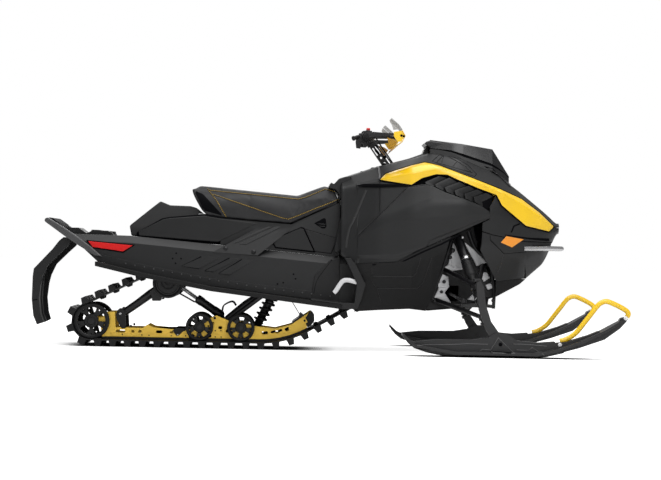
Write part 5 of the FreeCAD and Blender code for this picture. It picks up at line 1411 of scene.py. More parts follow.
# %% Snow flap, bumper and side reflectors
FLAP_OUTER = mm(-1292, 531, -1314, 512, -1345, 471, -1434, 374, -1438.5, 335, -1439.5, 278,
    -1440.5, 225, -1432, 144, -1413, 100)
FLAP_INNER = mm(-1375, 121, -1386, 165, -1393, 226, -1383, 304, -1369, 341, -1336, 402, -1288, 448,
    -1246, 483, -1243, 520)
outer, deep = np.array(FLAP_OUTER), np.array(FLAP_INNER[::-1]) - np.array(FLAP_OUTER)


def band_of(share):
    """The outline from the flap's outer line to a share of the way to its inner line."""
    return np.concatenate([outer, (outer + deep * share)[::-1]])


parts = [mirrored(plate(band_of(0.72), -0.178, -0.1915)), plate(band_of(0.30), -0.179, 0.179)]
parts += [plate(band_of(0.42), y, y + 0.007) for y in (-0.065, 0.058)]
made("snow_flap_finished", gather(*parts), TRIM, 0.0035, 30, 3, nodes=["snow_flap"])
# A near-black line in the flap's bend is painted shade in the crease.
crease = smooth_path(mm(-1438, -191.5, 218, -1424, -191.5, 222, -1412, -191.5, 222, size=3), 30)
paired("flap_crease_shadows", tube(crease, 0.0022, 8), TRIM, paint=DARK)
BAND = mm(-1383, 606, -1380, 620, -1366, 625, -1288, 579, -1226, 539, -1156, 489, -1096, 437,
    -1135, 444, -1221, 495, -1287, 538)
band = [mirrored(plate(BAND, -0.209, -0.232)), tube(mm(-1370, -212, 615, -1370, 212, 615, size=3),
    0.0118, 20)]
made("rear_bumper_finished", gather(*band), STEEL, 0.0065, 35, 3, nodes=["rear_bumper"],
    paint="bumper_grey")
CROSS = mm(-1366, 604, -1366, 626, -1350, 624, -1309, 596, -1300, 580, -1320, 580)
made("tail_handle", plate(CROSS, -0.19, 0.19), TRIM, 0.004, paint=DARK)
REFLECTOR = mm(-1170, 513.5, -953, 496.5, -1000, 466.5, -1148, 485.5)
FRAME_EDGE = mm(-1180, 519, -940, 500.5, -997, 459.5, -1156, 480)
paired("reflector_frames", plate(FRAME_EDGE, -0.206, -0.21), TRIM, 0.0008,
    paint=DARK)
paired("reflectors_red_finished", plate(REFLECTOR, -0.206, -0.2125), "red_lens", 0.0012,
    nodes=["reflectors_red"])
bar = smooth_path(mm(30, -328, 287, 40, -328, 298, 56, -328, 324, 74, -328, 346, 100, -326, 350,
    134, -322, 342, 166, -318, 336, size=3), 50)
paired("toe_holds_finished", tube(bar, [0.009] + [0.0112] * 48 + [0.009], 20, 0.6),
    SLOTS["toe_holds"], nodes=["toe_holds"], paint="silver_paint")


def seen_mesh(thing):
    """A mesh's vertices and faces as lists, for a tree that rays are shot at."""
    return [tuple(v.co) for v in thing.vertices], [tuple(p.vertices) for p in thing.polygons]


belly_tree = BVHTree.FromPolygons(*seen_mesh(frame["nodes"]["belly_pan"].data))
BELLY = [mm(212, 372, 412, 373, 427, 390, 447, 470), mm(241, 313, 436, 315, 464, 346, 500, 470),
    mm(241, 313, 214, 346, 212, 420), mm(241, 313, 268, 235)]
found = []
for line in BELLY:
    hits = [shot(belly_tree, x, z, -1)[0] for x, z in zip(*spaced(line, 0.012))]
    points = [np.array(hit) - [0, 0.0004, 0] for hit in hits if hit is not None]
    if len(points) > 2:
        found.append(mirrored(tube(points, 0.0016, 8)))
made("belly_creases", gather(*found), SLOTS["belly_pan"], paint="tunnel_black")
print("tail details ready")

# %% [markdown]
# ## Wheels, rails and arms of the skid
# The wheels are moulded in one shot, so their windows are gaps in a turned disc whose
# thickness follows a profile of rings. Seen as a polar grid, a window is a block of cells
# left out; walls close the disc wherever a filled cell meets an empty one. The rubber tyre is
# a second turned form round the rim.

# %% Windowed discs
def windowed_disc(centre, out, profile, windows, steps=120):
    """A disc about the y axis. profile rows are (radius, outer depth, inner depth) measured
    along out (+1 or -1); windows are rows of (angle, half angle, first ring, last ring)."""
    profile = np.array(profile, float)
    angle = full_turn(steps)
    radius, near, far = profile.T
    x = centre[0] + radius[:, None] * np.cos(angle)
    z = centre[2] + radius[:, None] * np.sin(angle)
    def side(depth):
        y = np.broadcast_to((centre[1] + out * depth)[:, None], x.shape)
        return np.stack([x, y, z], -1).reshape(-1, 3)
    vertices = np.concatenate([side(near), side(far)])
    rings, count = len(radius), len(radius) * steps
    filled = np.ones((rings - 1, steps), bool)
    middle = angle + np.pi / steps
    for at, half, first, last in windows:
        away = np.abs((middle - at + np.pi) % (2 * np.pi) - np.pi)
        filled[first:last, away < half] = False
    index = np.arange(count).reshape(rings, steps)
    after = np.roll(index, -1, 1)
    faces = []
    for ring, step in zip(*np.nonzero(filled)):
        a, b = index[ring, step], after[ring, step]
        c, d = after[ring + 1, step], index[ring + 1, step]
        faces += [[a, b, c, d], [a + count, d + count, c + count, b + count]]
        if ring == 0 or not filled[ring - 1, step]:
            faces.append([a, a + count, b + count, b])
        if ring == rings - 2 or not filled[ring + 1, step]:
            faces.append([c, c + count, d + count, d])
        if not filled[ring, (step + 1) % steps]:
            faces.append([b, b + count, c + count, c])
        if not filled[ring, step - 1]:
            faces.append([a, d, d + count, a + count])
    return vertices, faces


def spread(count, half, first, last, start=np.pi / 2):
    """Windows evenly round the disc."""
    return [((start + 2 * np.pi * k / count) % (2 * np.pi), half, first, last)
            for k in range(count)]


def tyre(centre, y_from, y_to, inner, outer):
    """Rubber ring with rounded shoulders between two depths."""
    low, high = sorted((y_from, y_to))
    edge = 0.004
    shoulder = [(0, inner), (0, outer - edge), (edge * 0.4, outer - edge * 0.3), (edge, outer)]
    profile = [(low + y, r) for y, r in shoulder] + [(high - y, r) for y, r in shoulder[::-1]]
    return turned(profile, (centre[0], 0, centre[2]), (0, 1, 0), 72, True)


print("windowed discs ready")

# %% [markdown]
# The two big idlers at the back have five wide windows with a slot between each pair and a
# capped bearing. The small rail wheels are the same design, and the wheels high on the rear
# arm are closed discs with rings pressed into them.

# %% Wheels
IDLER, IDLER_RADIUS = (-1.152, 0, 0.1223), 0.0883
SMALL_WHEELS = mm(-418, 0, 102.3, -622, 0, 102.3, size=3)
CARRIER = (-0.778, 0, 0.317)


def hub_cap(centre, y, out, radius):
    """Domed cap with a groove, over the bearing."""
    rows = [(-4, 1), (4, 1), (5.5, 0.94), (5.5, 0.8), (4, 0.77), (4, 0.72), (7.5, 0.66),
        (8.5, 0.3), (8.5, 0)]
    return turned(np.array(rows) * (0.001, radius), (centre[0], y, centre[2]), (0, out, 0), 40)


def wheel(place, side, rows, half, slot, tyre_from, tyre_to, cap_y, cap):
    """Disc, tyre and cap of a wheel with five wide windows and a slot between each pair."""
    hub = (place[0], side * 0.140, place[2])
    windows = spread(5, half, 2, 4) + spread(5, slot, 3, 4, np.pi / 2 + np.pi / 5)
    return (windowed_disc(hub, side, rows, windows),
            tyre(hub, side * 0.1262, side * 0.1538, tyre_from, tyre_to),
            hub_cap(hub, side * cap_y, side, cap))


rows = mm(20, 10, -12, 32, 10, -12, 36, 4, -4, 62, 3, -4, 68, 8, -8, 76, 12.5, -13, size=3)
discs, rubbers, caps = zip(*[wheel(IDLER, side, rows, 0.36, 0.055, 0.0745, IDLER_RADIUS - 0.0002,
    0.149, 0.026) for side in (-1, 1)])
made("rear_idlers_finished", gather(*discs, *caps), "wheel", 0.0008, 38, nodes=["rear_idlers"])
made("idler_tyres", gather(*rubbers, turned(mm(-130, 0, -130, 12, 130, 12, 130, 0), IDLER, (0, 1,
    0), 24)), "rubber")

rows = mm(16, 9, -10, 24, 9, -10, 28, 3, -4, 46, 2, -4, 52, 8, -8, 57, 12, -12, size=3)
discs, rubbers, caps = map(list, zip(*[wheel(place, side, rows, 0.30, 0.075, 0.0555, 0.0678,
    0.148, 0.020) for side in (-1, 1) for place in SMALL_WHEELS]))
rows = mm(1, 10, -12, 8, 10, -12, 12, 4, -6, 27, 4, -6, 29, 8, -6, 31, 8, -6, 34, 4, -6, 52, 3,
    -6, 54, 7, -6, 57, 7, -6, 60, 6, -6, 66, 12, -12, size=3)
for side in (-1, 1):
    top = (CARRIER[0], side * 0.190, CARRIER[2])
    discs.append(windowed_disc(top, side, rows, []))
    rubbers.append(tyre(top, side * 0.1765, side * 0.2035, 0.0645, 0.0748))
axles = [turned([(-w, 0), (-w, 0.01), (w, 0.01), (w, 0)], place, (0, 1, 0), 20)
         for place, w in zip((*SMALL_WHEELS, CARRIER), (0.126, 0.126, 0.178))]
made("rail_wheels_finished", gather(*discs, *caps, *axles), "wheel", 0.0007, 38,
    nodes=["rail_wheels"])
made("rail_wheel_tyres", gather(*rubbers), "rubber")
print("wheels:", 4 + 2 * len(SMALL_WHEELS))

# %% [markdown]
# The rails are anodised plate with a thicker foot, D-shaped lightening holes and dark bolts.
# The rear arm ends in a bolted triangular bracket; its damper has a bright rod sliding in a
# wide body, and a thin rod beside it. A carrying handle and a strap sit further forward.

# %% Rails, arms and damper
RAIL_Y = 0.119
FOOT = mm(-1060, 47, -300, 47, -200, 56, -120, 75, -118, 92, -200, 80, -300, 69, -1060, 66)
paired("rail_feet", plate(FOOT, -RAIL_Y + 0.004, -RAIL_Y - 0.0022), "gold", 0.0012, 30, 3)
dark_bolts = mm(-548, 147, -610, 86, -609, 54, -960, 100)
small_bolts = mm(-579, 107, -627, 86, -544, 85, -516, 86, -515, 54, -544, 54, -690, 56, -870, 56,
    -905, 57, -760, 56, -1000, 58)
bolts = gather(heads([(x, -RAIL_Y - 0.002, z) for x, z in dark_bolts], 0.0068, 0.004, sides=6),
    heads([(x, -RAIL_Y - 0.002, z) for x, z in small_bolts], 0.0034, 0.002))
paired("rail_bolts", bolts, STEEL)


def oval(x, z, half, radius, lean=0, count=20):
    """Outline of a slot with round ends."""
    angle = full_turn(count)
    along = np.sign(np.cos(angle)) * half + radius * np.cos(angle)
    up = radius * np.sin(angle)
    return np.stack([x + along * np.cos(lean) - up * np.sin(lean),
        z + along * np.sin(lean) + up * np.cos(lean)], 1)


ovals = [oval(-0.66, 0.0555, 0.007, 0.0085, 0.3), oval(-0.578, 0.0565, 0.007, 0.0085, 0.3),
    oval(-0.297, 0.08, 0.006, 0.006, 0.2), oval(-0.259, 0.085, 0.006, 0.006, 0.3), oval(-0.225,
    0.092, 0.005, 0.006, 0.4), oval(-0.192, 0.101, 0.005, 0.006, 0.5)]
# The lightening holes are near-black plates: painted shade inside them.
paired("rail_slot_shadows", gather(*[plate(outline, -RAIL_Y, -RAIL_Y - 0.0028) for outline in ovals]),
    "gold", paint=DARK)

BRACKET = mm(-1034, 152, -1028, 176, -1015, 187, -1000, 184, -990, 172, -984, 88, -1004, 86, -1030,
    128)
paired("rear_arm_brackets", plate(BRACKET, -0.106, -0.1235), TRIM, 0.002, 30, 3)
paired("rear_arm_bolts", heads([(-1.013, -0.1232, 0.16)], 0.0085, 0.006, sides=12), "steel")
arm = [mirrored(tube(mm(-1010, -88, 160, -930, -88, 218, -870, -90, 262, -800, -94, 305, size=3),
    [0.0135, 0.0145, 0.018, 0.021], 20)), mirrored(plate(mm(-866, 276, -850, 292, -812, 300, -806,
    245, -814, 228, -854, 227), -0.12, -0.172))]
made("rear_arm_finish", gather(*arm), STEEL, 0.003, 40, 3)

top, foot = np.array([-0.752, 0, 0.312]), np.array([-0.493, 0, 0.140])
line = foot - top
can = mm(420, 0, 420, 20.5, 440, 22.5, 520, 22.5, 540, 20.5, 740, 20.5, 760, 22.5, 900, 22.5, 930,
    15, 960, 0)
low, high = np.array([-0.350, 0, 0.090]), np.array([-0.230, 0, 0.330])
stack = mm(0, 0, 0, 16, 100, 16, 110, 20.5, 550, 20.5, 560, 22.5, 620, 22.5, 630, 9, 930, 9, 940,
    15, 1000, 15, 1000, 0)
pins = tube(mm(-350, -112, 90, -350, 112, 90, size=3), 0.008, 16)
made("skid_dampers_finished", gather(stepped(can, top, foot, 40), stepped(stack, low, high, 32),
    pins), SLOTS["skid_shocks"], nodes=["skid_shocks"], paint=STEEL)
rod = mm(30, 0, 30, 7.5, 450, 7.5, 450, 0)
made("rear_damper_rod", gather(stepped(rod, top, foot, 24), coil(top + line * 0.06 + [0, 0, 0.003],
    top + line * 0.42, 0.0095, 0.0012, 26, 6, 14)), "steel")
wire = coil(low + (high - low) * 0.16, low + (high - low) * 0.88, 0.030, 0.0045, 7, 10, 24)
made("front_damper_spring", wire, STEEL)
lower = [top + np.array([-0.006, 0, -0.034]), top + line * 0.43 + np.array([-0.012, 0, -0.017])]
handle = smooth_path(mm(-515, -60, 178, -508, -60, 206, -480, -60, 224, -460, -60, 226, -446, -60,
    208, size=3), 40)
made("skid_handle_and_rod", gather(tube(smooth_path(lower, 8), 0.0042, 10), mirrored(tube(handle,
    0.0036, 10))), STEEL)
front = [mirrored(tube(mm(-493, -78, 140, -400, -78, 218, -245, -78, 320, size=3), 0.0145, 20)),
    plate(mm(-168, 128, -160, 140, -134, 158, -124, 180, -108, 168, -112, 134, -150, 112), -0.11,
    0.11)]
made("front_arm_finish", gather(*front), STEEL, 0.003, 40, 3)
TIP = mm(-104, 138, -98, 162, -84, 184, -70, 188, -58, 176, -56, 142, -70, 122, -90, 110)
paired("rail_tip_guards", plate(TIP, -0.112, -0.1215), TRIM, 0.003)
SQUARE = mm(-122, 153, -104, 162, -89, 136, -107, 122)
paired("rail_tip_plates", plate(SQUARE, -0.1215, -0.124), "gold", 0.001)
paired("rail_tip_bolts", heads([(-0.105, -0.124, 0.143)], 0.0062, 0.004, sides=6), STEEL)
REST = mm(-756, 80, -738, 95, -690, 95, -688, 83, -703, 78, -724, 57, -734, 56)
paired("rail_rests", plate(REST, -0.112, -0.124), TRIM, 0.0015)
paired("rail_rest_bolts", heads([(-0.729, -0.124, 0.061)], 0.005, 0.004), "steel")
print("rails and arms ready")

# %% [markdown]
# ## The open bay and the front suspension
# Behind the side cover's front edge the bay is open. Bright cast faces stand in it between dark
# hollows, so the dark block keeps the depth and the castings are separate plates with round
# edges. A front frame bar and a ribbed air inlet close it towards the nose.

# %% Castings in the bay
for thing in (frame["nodes"]["bulkhead"], bpy.data.objects["bulkhead_finished"]):
    for place in thing.material_slots:
        place.material = PAINTS[TRIM].material
BAY_Y = -0.150
CASTINGS = [mm(619, 545, 612, 516, 626, 508, 602, 475, 597, 434, 573, 418, 604, 402, 668, 411, 660,
    452, 632, 524), mm(666, 554, 732, 506, 790, 449, 736, 428, 725, 453, 696, 501), mm(747, 402,
    788, 402, 806, 374, 775, 352, 757, 378), mm(781, 337, 809, 350, 824, 325, 795, 313), mm(565,
    388, 598, 377, 604, 324, 582, 296, 616, 246, 604, 240, 552, 258, 528, 270, 549, 311, 546, 339),
    mm(731, 302, 694, 264, 731, 259)]
BACKING = mm(552, 236, 552, 420, 660, 420, 660, 236)
paired("bay_shadow", plate(BACKING, -0.045, -0.055), TRIM, paint=DARK)
plates = [mirrored(plate(outline, BAY_Y + 0.006, BAY_Y - 0.011)) for outline in CASTINGS]
made("bay_castings", gather(*plates), "cast", 0.0045, 30, 4)
WEBS = [mm(600, 432, 603, 438, 668, 418, 668, 413), mm(604, 474, 612, 474, 628, 420, 622, 418),
    mm(553, 345, 556, 352, 600, 366, 600, 360), mm(549, 320, 549, 326, 603, 330, 603, 324), mm(552,
    300, 556, 306, 585, 306, 585, 300)]
webs = [mirrored(plate(outline, BAY_Y, BAY_Y - 0.0165)) for outline in WEBS]
made("bay_casting_webs", gather(*webs), "cast", 0.002, 30, 3)
FRAME = mm(690, -168, 606, 732, -166, 512, 799, -164, 453, 818, -164, 368, 826, -164, 312, 824,
    -164, 222, size=3)
LOWER = mm(520, -158, 262, 560, -162, 246, 640, -164, 236, 730, -164, 240, 824, -164, 232, size=3)
SIDE = mm(612, -158, 556, 590, -160, 480, 566, -160, 400, 540, -160, 330, 522, -158, 262, size=3)
bars = [mirrored(tube(smooth_path(path, 40), 0.0085, 14, 0.6)) for path in (FRAME, LOWER, SIDE)]
blocks = mm(618, 505, 12, 606, 470, 10, 578, 350, 10, 566, 300, 9, 800, 440, 13, 760, 418, 11, 812,
    350, 9, 535, 255, 11, 822, 262, 10, size=3)
knobs = [mirrored(turned([(0, 0), (0, r), (0.01, r), (0.013, r * 0.7), (0.013, 0)], (x,
    BAY_Y - 0.006, z), (0, -1, 0), 6)) for x, z, r in blocks]
made("bay_frame", gather(*bars, *knobs), STEEL, 0.001)
slats = []
for k in range(10):
    z = 0.622 - 0.0066 * k
    left, right = 0.722 + 0.0015 * k, 0.782 + 0.0022 * k
    slats.append(plate([(left, z), (right, z), (right, z - 0.0032), (left, z - 0.0032)], -0.15,
        -0.196))
slats.append(plate(mm(716, 630, 784, 632, 812, 556, 734, 552), -0.15, -0.188))
paired("bay_inlet", gather(*slats), TRIM, paint=DARK)
print("castings:", 2 * len(CASTINGS))

# %% [markdown]
# A front damper is read from its steps: a black sleeve, a bright collar, three rings, a plain
# body, then the coil over a bright shaft with a white spacer, and an eye at each end. All of
# them are turned about the same line.

# %% Front dampers
DAMPER_TOP = np.array([0.640, -0.205, 0.566])
DAMPER_FOOT = np.array([0.748, -0.372, 0.226])
DAMPER = DAMPER_FOOT - DAMPER_TOP


def damper_steps(name, rows, slot, paint=None, extra=()):
    """A stepped piece on the damper's line and its mirror image."""
    part = gather(stepped(rows, DAMPER_TOP, DAMPER_FOOT, 36), *extra)
    return paired(name, part, slot, 0.0007, 35, paint=paint)


damper_steps("damper_sleeves", mm(-20, 0, -20, 18, 0, 21, 270, 22.5, 275, 0), STEEL)
damper_steps("damper_collars", mm(268, 0, 268, 23.5, 280, 26, 318, 26, 325, 0), "steel")
rings = mm(315, 0)
for at in (322, 352, 382):
    rings += mm(at, 22.5, at + 3, 27, at + 18, 27, at + 21, 22.5)
damper_steps("damper_rings", rings + mm(412, 0), STEEL)
damper_steps("damper_cans", mm(405, 0, 405, 26, 420, 26.8, 530, 26.8, 545, 22.5, 600, 20, 655,
    20.5, 660, 23.5, 685, 23.5, 690, 0), TRIM)
spring = coil(DAMPER_TOP + DAMPER * 0.69, DAMPER_TOP + DAMPER * 0.955, 0.0205, 0.0036, 5.5)
paired("damper_springs", spring, STEEL)
damper_steps("damper_shafts", mm(685, 0, 685, 8.5, 960, 8.5, 965, 0), "steel")
damper_steps("damper_spacers", mm(800, 0, 800, 18.5, 830, 18.5, 832, 12, 845, 12, 847, 18.5, 862,
    18.5, 864, 0), "steel", "white_plastic")
eye = turned(mm(-16, 0, -16, 13, -12, 15.5, 12, 15.5, 16, 13, 16, 0), DAMPER_FOOT, (0.85, 0.35,
    0), 28)
cap = turned(mm(-14, 0, -14, 15, 14, 15, 14, 0), DAMPER_TOP, (0.9, 0.3, 0.2), 28)
damper_steps("damper_eyes", mm(950, 0, 950, 20, 965, 19.5, 985, 10, 990, 0), STEEL, None,
    (eye, cap))
paired("damper_top_bolts", heads([DAMPER_TOP + (0.018, -0.02, 0.004)], 0.0055, 0.006, (0.3, -0.95,
    0), 12), "steel", paint="white_plastic")
print("front dampers ready")

# %% [markdown]
# The arms and rods are welded tube, and every ball joint shows the nut that holds it.

# %% Arms and joints
for node, width in {"upper_arms": 0.0008, "lower_arms": 0.0008, "tie_rod_right": 0.0006,
                    "tie_rod_left": 0.0006, "front_arm": 0.0006, "rear_arm": 0.0006,
                    "limiter_strap": 0.0006, "drive_axle": 0.0006, "bar_cables": 0.0004,
                    "handlebar": 0.0006}.items():
    dressed(node, width)
for node in ("spindle_right", "spindle_left"):
    dressed(node, 0.003, paint="spindle_black")

UPPER_BALL, LOWER_BALL = np.array([0.716, -0.430, 0.335]), np.array([0.742, -0.445, 0.185])
KING = unit(UPPER_BALL - LOWER_BALL)
NUT = mm(12, 0, 12, 14, 17, 14, 17.2, 10, 26, 10, 28, 0)
joints = [turned(NUT, UPPER_BALL, KING, 24), turned(NUT, LOWER_BALL, -KING, 24)]
paired("arm_joint_caps", gather(*joints), STEEL)
print("arms and joints ready")

# %% [markdown]
# ## Visor, handlebar, controls and guards
# The low visor sits on a fairing in the colour of the hood. Both come from one construction
# piece, cut along their seam, so the visor can stand a little proud of the fairing and leave a
# dark line between them, with a thinner near-black copy inside that paints the seam's shadow.
# A thick lip closes the visor's rear edge over the gauge.

# %% Visor and its fairing
SEAM = mm(460, 1012, 542, 1006, 605, 1000, 675, 980, 751, 957, 798, 942, 840, 921, 875, 897, 905,
    868, 960, 850)
FAIRING = mm(460, 1008, 542, 1002, 605, 991, 675, 966, 751, 943, 798, 930, 840, 912, 875, 892, 905,
    864, 960, 846)
over = mm(960, 1120, 460, 1120)
carved("windshield", "windshield_finished", SEAM + over, "INTERSECT", 1, "visor", ["windshield"],
    width=0.004)
carved("windshield", "visor_fairing", FAIRING + over, "DIFFERENCE", 0.992, BODY)
# A thinner near-black copy of the visor paints the shadow in the seam under its edge.
carved("windshield", "visor_seam_shadow", FAIRING + over, "INTERSECT", 0.955, "visor", paint=DARK,
    width=0.0005)
LIP = mm(472, 1032, 477, 1040, 490, 1045, 508, 1044, 560, 1038, 620, 1030, 620, 1020, 548, 1015,
    506, 1009, 486, 1020)
made("visor_lip", plate(LIP, -0.112, 0.112), "visor", 0.0045, 25, 4)
UNDER = mm(482, 1020, 500, 1024, 560, 1024, 560, 1003, 524, 1000, 500, 1006)
made("visor_lip_shadow", plate(UNDER, -0.108, 0.108), "visor", paint=DARK)
GAUGE = mm(462, 966, 480, 1012, 486, 1019, 497, 1020, 497, 966)
made("gauge_finished", plate(GAUGE, -0.058, 0.058), SLOTS["gauge"], 0.003, nodes=["gauge"])
skin = [seen_mesh(evaluated(bpy.data.objects[name]).data) for name in (
    "visor_fairing", "hood_finished", "windshield_finished", "headlamps_finished")]
skin_tree = BVHTree.FromPolygons(*gather(*skin))


def skin_patch(name, outline, rise, slot, paint):
    """A thin flat patch laid on the outermost surface at an outline of (x, z), both sides."""
    found = [shot(skin_tree, x, z, -1)[0] for x, z in outline]
    top = np.array([point for point in found if point is not None]) - [0, rise, 0]
    return paired(name, prism(top, top + [0, 0.012, 0]), slot, paint=paint)


skin_patch("lamp_wing", mm(768, 927, 776, 921, 800, 904, 832, 890, 826, 902, 812, 915, 790, 921),
    0.0015, TRIM, DARK)
print("visor ready")

# %% [markdown]
# Grips are moulded rubber with rings for the fingers and a flange at the inner end. The
# controls on the bar are small blocks with buttons and levers, and each hand is covered by a
# guard: a black stay, a yellow faceted shell held by two screws, a smoke deflector above and
# an amber-tinted one below.

# %% Grips
def bar_piece(name, part, slot, paint=None, nodes=(), width=0):
    """A piece on both sides of the bar that turns with the steering."""
    piece = paired(name, part, slot, body="steering", nodes=nodes, paint=paint)
    return soften(piece, width) if width else piece


BAR_END, BAR_BEND = np.array([0.178, -0.365, 1.050]), np.array([0.196, -0.215, 1.052])
INWARD = unit(BAR_BEND - BAR_END)
rows = mm(-1.5, 0, -1.5, 15, 2, 17.2)
for ring in range(13):
    start = 0.010 + ring * 0.0078
    rows += [(start, 0.0172), (start + 0.001, 0.0158), (start + 0.0025, 0.0158), (start + 0.0035,
        0.0172)]
rows += mm(114, 17.2, 116, 18.2, 122, 18.2, 124, 16.5, 124.5, 0)
bar_piece("grips_finished", turned(rows, BAR_END, INWARD, 36), "grip_rubber", nodes=["grips"])

# %% [markdown]
# The thumb lever below each grip is a bent flat blade with a rounded pad; the lever in front
# of it is a finger lever. A red button stands on the right-hand block.

# %% Levers and buttons
BLOCK = np.array([0.178, -0.245, 1.050])
throttle = gather(tube(smooth_path(mm(178, -250, 1050, 156, -268, 1052, 132, -290, 1046, 118, -312,
    1040, 108, -326, 1036, size=3), 30), [0.0095] * 25 + [0.012] * 5, 14, 0.8), plate(mm(176, 1058,
    126, 1046, 122, 1022, 126, 992, 146, 990, 150, 1014, 160, 1012, 163, 998, 177, 1000, 190,
    1040), -0.272, -0.29), turned(mm(-10, 0, -10, 24, -6, 27, 14, 27, 18, 24, 18, 0), (0.18,
    -0.292, 1.053), (0, -1, 0), 28), turned(mm(-20, 0, -20, 18, 18, 18, 18, 0), (0.156, -0.258,
    1.048), (0, 0, 1), 20))
made("throttle_lever", throttle, SLOTS["bar_controls"], 0.0015, body="steering",
    nodes=["bar_controls"])
brake = gather(tube(smooth_path(mm(196, 245, 1060, 214, 262, 1066, 226, 290, 1066, 229, 320, 1060,
    226, 345, 1054, size=3), 30), [0.0075] * 26 + [0.0095] * 4, 14, 0.7), turned(mm(-14, 0, -14,
    15, 14, 15, 14, 0), (0.198, 0.246, 1.06), (0, 0, 1), 20))
made("brake_lever", brake, TRIM, body="steering")
blocks = []
for depth, outline in ((0.016, [(0.150, 1.036), (0.152, 1.074), (0.162, 1.079), (0.200, 1.080),
                                (0.206, 1.072), (0.205, 1.030), (0.196, 1.024), (0.160, 1.026)]),
                       (0.022, [(0.162, 1.040), (0.163, 1.068), (0.196, 1.070), (0.197, 1.034)])):
    blocks.append(plate(outline, BLOCK[1] - depth, BLOCK[1] + depth))
bar_piece("bar_switches", gather(*blocks), TRIM, width=0.0022)
made("stop_button", turned(mm(0, 0, 0, 9.5, 11, 9.5, 14, 7.5, 15, 0), (0.184, -0.247, 1.079), (0,
    0, 1), 28), "red_lens", body="steering", paint="red_plastic")
made("start_button", turned(mm(0, 0, 0, 8, 5, 8, 6, 6, 6, 0), (0.184, 0.247, 1.079), (0, 0, 1),
    28), TRIM, body="steering")
dials = gather(*[turned(mm(0, 0, 0, 4.5, 3, 4.5, 4, 0), (x, BLOCK[1] - 0.022, z), (0, -1, 0), 16)
                 for z in (1.06, 1.046) for x in (0.171, 0.184)])
bar_piece("switch_keys", dials, TRIM, "cast")
print("levers and buttons ready")

# %% [markdown]
# The guard's shell is bent sheet: a line of (x, z) drawn across the hand, closed at its outer
# end by a faceted cheek. The clear parts are sheets of the same kind in tinted plastic.

# %% Guards
def bent_sheet(line, low, high, thickness):
    """A sheet whose section is a line of (x, z), drawn along y."""
    line = np.array(line, float)
    way = unit(np.gradient(line, axis=0))
    inner = line + np.stack([-way[:, 1], way[:, 0]], 1) * thickness
    return plate(np.concatenate([line, inner[::-1]]), low, high)


END_Y, ROOT_Y = -0.3725, -0.190
SHELL = mm(322, 1006, 345, 1022, 360, 1052, 344, 1079)
CHEEK = mm(302, 1050, 302, 1070, 338, 1076, 356, 1050, 338, 1024, 322, 1022)
STAY = mm(178, 1040, 178, 1058, 202, 1068, 272, 1064, 302, 1064, 304, 1052, 262, 1048, 220, 1043)
bar_piece("hand_guards_finished", gather(bent_sheet(SHELL, END_Y + 0.002, ROOT_Y, 0.0035),
    plate(CHEEK, END_Y - 0.0002, END_Y + 0.006)), "yellow", nodes=["hand_guards"], width=0.0012)
bar_piece("guard_stays", gather(plate(STAY, END_Y + 0.0005, END_Y + 0.012), plate(mm(196, 1044,
    196, 1062, 330, 1060, 330, 1046), ROOT_Y - 0.004, ROOT_Y + 0.004)), TRIM, width=0.002)
bar_piece("guard_screws", heads([(0.339, END_Y - 0.0004, 1.053), (0.351, END_Y - 0.0004, 1.05)],
    0.0062, 0.004), STEEL, DARK)
DEFLECTOR = mm(288, 1133.5, 323, 1106, 329, 1083, 300, 1080, 292, 1104, 282, 1118)
TOP_SHEET = mm(345, 1081, 328, 1106, 291, 1137.5)
LOW_SHEET = mm(322, 1006, 300, 986, 290, 985)
LOW_CHEEK = mm(270, 1042, 298, 1034, 320, 1020, 298, 986, 282, 1000)
bar_piece("guard_shields_finished", gather(bent_sheet(TOP_SHEET, END_Y + 0.01, ROOT_Y + 0.001,
    0.0025), plate(DEFLECTOR, END_Y + 0.01, END_Y + 0.0125)), "smoke", nodes=["guard_shields"],
    width=0.0006)
bar_piece("guard_low_shields", gather(bent_sheet(LOW_SHEET, END_Y + 0.004, ROOT_Y, 0.0025),
    plate(LOW_CHEEK, END_Y + 0.003, END_Y + 0.0055)), "smoke", "amber_tint", width=0.0006)
print("guards ready")

# %% [markdown]
# The riser that carries the bar is a cast bracket with round and long holes on each side and
# four cap screws over the bar. The gauge behind it has a glass face in a bezel.

# %% Riser and gauge
holes = []
for x, z, half, radius, lean in ((0.280, 0.964, 0, 0.0085, 0), (0.279, 0.927, 0, 0.0085, 0),
                                 (0.243, 0.990, 0.010, 0.0055, -0.85),
                                 (0.240, 1.018, 0.006, 0.0040, -0.95)):
    outline = oval(x, z, half, radius, lean)
    holes += [plate(outline, -0.0185, -0.0205), plate(outline, 0.0185, 0.0205)]
# The riser's holes are near-black plates on its faces: painted shade inside them.
made("riser_hole_shadows", gather(*holes), STEEL, body="steering", paint=DARK)
screws = heads([(x, y, 1.0685) for x in (0.196, 0.216) for y in (-0.012, 0.012)], 0.0052, 0.005,
    (0, 0, 1), 12)
made("riser_screws", screws, "steel", body="steering")
low, high = np.array([0.4625, 0, 0.970]), np.array([0.4775, 0, 1.008])
out = unit(np.cross(high - low, (0, 1, 0)))
half = np.array([0, 0.052, 0])
rim = np.array([low - half, low + half, high + half, high - half])
made("gauge_glass", prism(rim - out * 0.001, rim + out * 0.0015), "visor", 0.0006)
print("riser and gauge ready")

# %% [markdown]
# ## Skis
# The ski is one moulding: a keel, two ribbed walls and a deep saddle where the spindle's foot
# is pinned. Its loop is a moulded bar with round bends held by a bolt at each end. The loop is
# drawn again along a smooth curve. Creases of the moulding are thin raised lines in a light
# grey that paints a highlight along each crease, and rays shot at the ski from the side find
# where they lie on it.

# %% Loops, bolts and creases
def on_side(tree, x, z, side, rise=0):
    """The outermost point of a piece at a place seen from its side, or None."""
    hit = shot(tree, x, z, side)[0]
    return None if hit is None else np.array(hit) + np.array([0, side * rise, 0])


